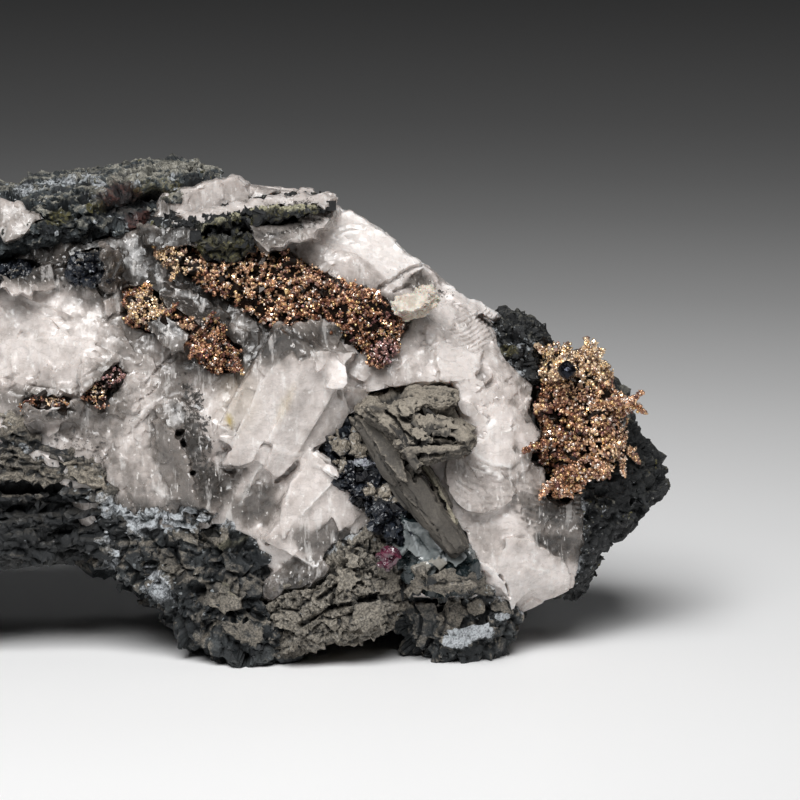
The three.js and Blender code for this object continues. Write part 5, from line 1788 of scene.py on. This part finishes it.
def growSilver(name, s):
    # a knotted core painted dark as the shade between the branches, closely grown over with short ferns of
    # small crystals
    s = {**silverDefaults, **s}
    rng = np.random.default_rng(s["seed"])
    node = s["node"]
    coords, tris = nodeArrays(node)
    core = voxelSkin(swollen(coords, tris, s["swell"]), tris, s["voxel"])
    p, n = meshPoints(core)
    lift, _ = fragments(p, s["knots"], s["seed"])
    setPoints(core, p + n * (lift + 0.5 * cloudy(p, 1.4, s["seed"] + 1))[:, None])
    core = applied(core, "DECIMATE", {"ratio": min(1.0, s["core"] / len(meshTris(core)))})
    p, n = meshPoints(core)
    coreTris = meshTris(core)
    others = solidTree([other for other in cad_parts.keys() if other != node])
    seeds, normals = scatter(p, coreTris, s["ferns"] * 3, rng)
    keep = rng.random(len(seeds)) < np.where(normals[:, 1] < 0.35, 1.0, 0.2)
    for edge in s["covers"]:
        keep &= ~within(faceUV(seeds), edge)
    seeds, normals = seeds[keep][: s["ferns"]], normals[keep][: s["ferns"]]
    count = len(seeds)
    clump = smoothStep(-0.25, 0.35, cloudy(seeds, 1.6, s["seed"] + 5))
    middle = coords.mean(0) + np.array([0, 3.0, 0])
    heading = unit(normals * 0.7 + unit(seeds - middle) * 0.7 + rng.normal(size=(count, 3)) * 0.3)
    walled = ~openAir(seeds, heading, others, 1.4)
    heading[walled] = unit(heading[walled] * 0.6 - unit(seeds[walled] - showEye) * 0.7)
    side = unit(np.cross(heading, rng.normal(size=(count, 3))))
    third = np.cross(heading, side)
    length = 1 + (s["steps"] - 1) * (0.2 + 0.3 * rng.random(count) + 0.6 * clump) + walled * 1.5
    length = np.clip(np.round(length), 1, s["steps"] + 1).astype(int)
    pitch = s["grain"] * 0.66
    places, sizes, outs, ferns = [], [], [], []

    def put(where, size, out, fern):
        places.append(where + rng.normal(size=where.shape) * s["grain"] * 0.22)
        sizes.append(size * rng.uniform(0.65, 1.35, len(where)))
        outs.append(np.full(len(where), out))
        ferns.append(fern)

    for step in range(s["steps"] + 1):
        alive = np.where(length > step)[0]
        base = seeds[alive] + heading[alive] * (step * pitch)
        out = min(1.0, (step + 1) / s["steps"])
        put(base, s["grain"] * 1.1, out, alive)
        for angle in (0.4, 2.5, 4.6):
            turn = angle + 1.9 * step + alive * 0.7
            arm = np.cos(turn)[:, None] * side[alive] + np.sin(turn)[:, None] * third[alive]
            on = rng.random(len(alive)) < 0.68
            reach = (arm + 0.5 * heading[alive])[on] * (pitch * 1.15)
            put(base[on] + reach, s["grain"] * 0.85, out, alive[on])
    for number, path in enumerate(s["prongs"]):
        # a thin branch along the points of a path on the show face
        line = np.array(path, float)
        level = depthSeen(*line[0], treeOf[node]) or np.linalg.norm(middle - showEye) - 2.0
        run = np.linalg.norm(np.diff(line, axis=0), axis=1).sum()
        along = np.linspace(0, len(line) - 1, int(40 * run / uvPerMm))
        spots = np.stack([np.interp(along, np.arange(len(line)), line[:, i]) for i in (0, 1)], -1)
        spots = spots + rng.normal(size=spots.shape) * 1.9 * (1.15 - along / along[-1])[:, None]
        for u, v in spots:
            at = showEye + faceRay(u, v) * (level + rng.normal() * 0.35)
            put(at[None], s["grain"] * 0.9, 1.0, np.array([number]))
    places, sizes = np.concatenate(places), np.concatenate(sizes)
    outs, ferns = np.concatenate(outs), np.concatenate(ferns)
    places = np.clip(places, boxLow + 0.2, boxHigh - 0.2)
    shape = sizes[:, None] * rng.uniform(0.55, 1.45, (len(sizes), 3)) * 1.2
    c, t, whose = copies([gem], places, anyTurn(len(places), rng), shape, rng)
    mesh = toMesh(name, *joined([(p, coreTris), (c, t)]))
    fernTone = rng.random(count)
    # grains further out are lighter, while the inner ones and the core are painted dark: painted shade down
    # between the branches
    tone = 0.35 * fernTone[ferns] + 0.55 * rng.random(len(places)) + 0.3 * outs - 0.08 - s["dusk"]
    values = {
        "tone": np.concatenate([np.full(len(p), 0.2), tone[whose]]),
        "spin": np.concatenate([np.full(len(p), 0.9), rng.random(len(places))[whose]]),
        "deep": np.concatenate([np.full(len(p), 0.85), np.clip(0.75 - 1.5 * outs, 0, 1)[whose]]),
    }
    allPoints = np.concatenate([p, c])
    uv = faceUV(allPoints) + 4 * cloudy(allPoints, 1.5, 3)[:, None]
    for key in ("gold", "violet", "shade"):
        values[key] = patches(uv, s[key]) if s[key] else np.zeros(len(allPoints))
    paint(mesh, values)
    sides = len(gem[1])
    rounded = (rng.random(len(t) // sides) < 0.6).repeat(sides)
    rounded = np.concatenate([np.zeros(len(coreTris), bool), rounded])
    mesh.polygons.foreach_set("use_smooth", rounded)
    return place(name, mesh, [node], silverCoat)


sprayRight = {
    "prongs": [
        pairs(606, 404, 628, 402, 643, 392), pairs(610, 398, 628, 400), pairs(626, 404, 640, 408, 646, 413),
        pairs(588, 356, 586, 338), pairs(596, 358, 594, 341), pairs(548, 444, 534, 446, 523, 452),
        pairs(552, 480, 544, 490, 539, 497), pairs(560, 484, 562, 496), pairs(602, 466, 604, 478),
        pairs(622, 460, 624, 476), pairs(630, 450, 639, 462), pairs(545, 352, 536, 346),
        pairs(546, 408, 534, 406), pairs(551, 370, 563, 371, 575, 373), pairs(562, 359, 563, 371, 564, 384),
        pairs(554, 378, 572, 364),
    ],
    "covers": [
        pairs(516, 456, 546, 458, 550, 472, 536, 482, 516, 484),
        pairs(606, 482, 628, 480, 650, 470, 650, 510, 596, 510),
        pairs(622, 408, 620, 444, 650, 446, 650, 408),
        pairs(600, 350, 606, 384, 620, 400, 650, 402, 650, 330, 600, 330),
        pairs(516, 440, 536, 452, 548, 466, 530, 480, 510, 470),
        pairs(520, 330, 540, 330, 534, 342, 524, 352),
    ],
    "node": "silver_spray_right", "seed": 51, "core": 2300, "ferns": 1150, "steps": 5, "grain": 0.36,
    "swell": -1.3,
    "gold": [
        oval(575, 362, 46, 26, 0, 0.95, 0.8), oval(615, 455, 26, 22, 0, 0.4, 0.9),
        oval(580, 420, 70, 70, 0, 0.36, 0.9),
    ],
    "shade": [oval(545, 440, 30, 40, 0, 0.3, 0.9)],
}
growSilver("silverSprayRight", sprayRight)

bandUpper = {
    "prongs": [
        pairs(170, 262, 158, 250), pairs(178, 268, 172, 280), pairs(262, 330, 258, 342),
        pairs(282, 334, 284, 346), pairs(232, 316, 226, 326), pairs(372, 356, 378, 367),
        pairs(392, 344, 398, 352), pairs(352, 300, 360, 292), pairs(246, 272, 240, 262),
        pairs(330, 330, 332, 344),
    ],
    "covers": bandCovers, "node": "silver_band_upper", "seed": 52, "core": 2700, "ferns": 1550, "steps": 3,
    "grain": 0.3, "swell": -0.25, "gold": [oval(175, 262, 26, 16, 0, 0.6), oval(260, 280, 90, 40, 16, 0.28)],
    "violet": [oval(385, 352, 16, 18, 0, 0.5)],
    "shade": [oval(345, 325, 54, 30, 35, 0.3, 0.8), oval(215, 300, 30, 16, 30, 0.3, 0.8)],
}
growSilver("silverBandUpper", bandUpper)

tuftLeft = {
    "prongs": [
        pairs(152, 314, 170, 312, 176, 304), pairs(180, 326, 194, 326), pairs(168, 304, 170, 322),
        pairs(236, 360, 243, 374), pairs(196, 346, 190, 358), pairs(132, 312, 126, 322),
        pairs(206, 322, 214, 312),
    ],
    "covers": tuftCovers, "node": "silver_tuft_left", "seed": 53, "core": 2000, "ferns": 700, "steps": 3,
    "grain": 0.3, "swell": -0.25, "dusk": 0.22,
    "gold": [oval(146, 308, 20, 18, 0, 0.8), oval(190, 330, 26, 14, 0, 0.4)],
}
growSilver("silverTuftLeft", tuftLeft)

fleck = {
    "core": 700, "ferns": 160, "steps": 2, "grain": 0.22, "swell": -0.3, "dusk": 0.25,
    "violet": [oval(112, 378, 26, 14, 0, 0.5)],
    "gold": [oval(98, 392, 9, 7, 0, 0.8), oval(50, 401, 9, 6, 0, 0.8)],
}
growSilver("silverFleckNear", {**fleck, "node": "silver_fleck_near", "seed": 54, "covers": nearFleckCovers})
growSilver("silverFleckFar", {**fleck, "node": "silver_fleck_far", "seed": 55, "covers": farFleckCovers})

# stage, lights and camera

# metres; the stops paint the floor darker by the distance from the middle, a painted falloff of the studio
# light
stageLook = {
    "radius": 2.2, "rings": 48, "spokes": 96, "lip": 1.1, "lipRise": 0.9,
    "stops": [
        (0.0, 0.93), (0.058, 0.92), (0.07, 0.91), (0.08, 0.89), (0.092, 0.875), (0.113, 0.823),
        (0.138, 0.757), (0.165, 0.668), (0.196, 0.582), (0.231, 0.484), (0.27, 0.411), (0.313, 0.336),
        (0.362, 0.278), (0.403, 0.247), (0.44, 0.227), (0.48, 0.218), (0.573, 0.204), (0.672, 0.192),
        (1.0, 0.19),
    ],
}


def makeFloor():
    s = stageLook
    radii = s["radius"] * (np.linspace(0, 1, s["rings"] + 1)[1:]) ** 1.6
    angles = np.linspace(0, 2 * math.pi, s["spokes"], endpoint=False)
    coords = [[0, 0, 0]]
    for r in radii:
        rise = s["lipRise"] * max(0.0, (r - s["lip"]) / (s["radius"] - s["lip"])) ** 2
        coords += [[r * math.cos(a), r * math.sin(a), rise] for a in angles]
    n = s["spokes"]
    tris = [[0, 1 + i, 1 + (i + 1) % n] for i in range(n)]
    for ring in range(s["rings"] - 1):
        a, b = 1 + ring * n, 1 + (ring + 1) * n
        for i in range(n):
            j = (i + 1) % n
            tris += [[a + i, b + i, b + j], [a + i, b + j, a + j]]
    mesh = toMesh("floor", np.array(coords, float), np.array(tris))
    mesh.polygons.foreach_set("use_smooth", np.full(len(mesh.polygons), True))
    f = Finish("floor")
    distance = f.vector("LENGTH", {0: f.where}, "Value")
    # painted falloff of the light: the floor's colour darkens away from the middle
    paintedFalloff = f.add("ShaderNodeValToRGB", {"stops": s["stops"]}, {0: distance})
    shader = f.surface({"Base Color": paintedFalloff, "Roughness": 0.55, "Specular IOR Level": 0.2})
    mesh.materials.append(f.close(shader))
    floor = bpy.data.objects.new("floor", mesh)
    bpy.context.scene.collection.objects.link(floor)


makeFloor()

lamps = {
    "topBox": {"at": (-0.04, -0.39, 0.50), "size": (0.46, 0.34), "watts": 4.6, "aim": (0, 0, 0.02)},
    "frontLeft": {"at": (-0.14, -0.48, 0.40), "size": (0.14, 0.14), "watts": 0.55, "aim": (0.01, 0, 0.02)},
    "frontRight": {"at": (0.40, -0.42, 0.40), "size": (0.14, 0.20), "watts": 0.12, "aim": (0.01, 0, 0.02)},
    "backRim": {"at": (0.20, 0.34, 0.46), "size": (0.22, 0.22), "watts": 0.12, "aim": (0.01, 0, 0.03)},
}
for name, lamp in lamps.items():
    data = bpy.data.lights.new(name, "AREA")
    data.shape = "RECTANGLE"
    data.size, data.size_y = lamp["size"]
    data.energy = lamp["watts"]
    thing = bpy.data.objects.new(name, data)
    thing.location = lamp["at"]
    thing.rotation_euler = (Vector(lamp["aim"]) - Vector(lamp["at"])).to_track_quat("-Z", "Y").to_euler()
    bpy.context.scene.collection.objects.link(thing)

world = bpy.data.worlds.new("studio")
world.use_nodes = True
surround = world.node_tree.nodes["Background"].inputs
surround["Color"].default_value = (0.5, 0.52, 0.56, 1)
surround["Strength"].default_value = 0.022
bpy.context.scene.world = world
bpy.context.scene.view_settings.view_transform = "Standard"

cameraLook = {
    "target": (19.5, 0.0, 24.3), "distance": 500.0, "elevation": 10.0, "field": 80.0, "sensor": 36.0,
}


def makeCamera():
    s = cameraLook
    data = bpy.data.cameras.new("camera")
    data.sensor_width = s["sensor"]
    data.lens = s["sensor"] * s["distance"] / s["field"]
    data.clip_start, data.clip_end = 0.01, 20.0
    thing = bpy.data.objects.new("camera", data)
    tilt = math.radians(s["elevation"])
    away = Vector((0, -math.cos(tilt), math.sin(tilt))) * s["distance"]
    thing.location = (Vector(s["target"]) + away) * mm
    thing.rotation_euler = (math.radians(90) - tilt, 0, 0)
    bpy.context.scene.collection.objects.link(thing)
    bpy.context.scene.camera = thing


makeCamera()
report("stage, lights and camera ready")
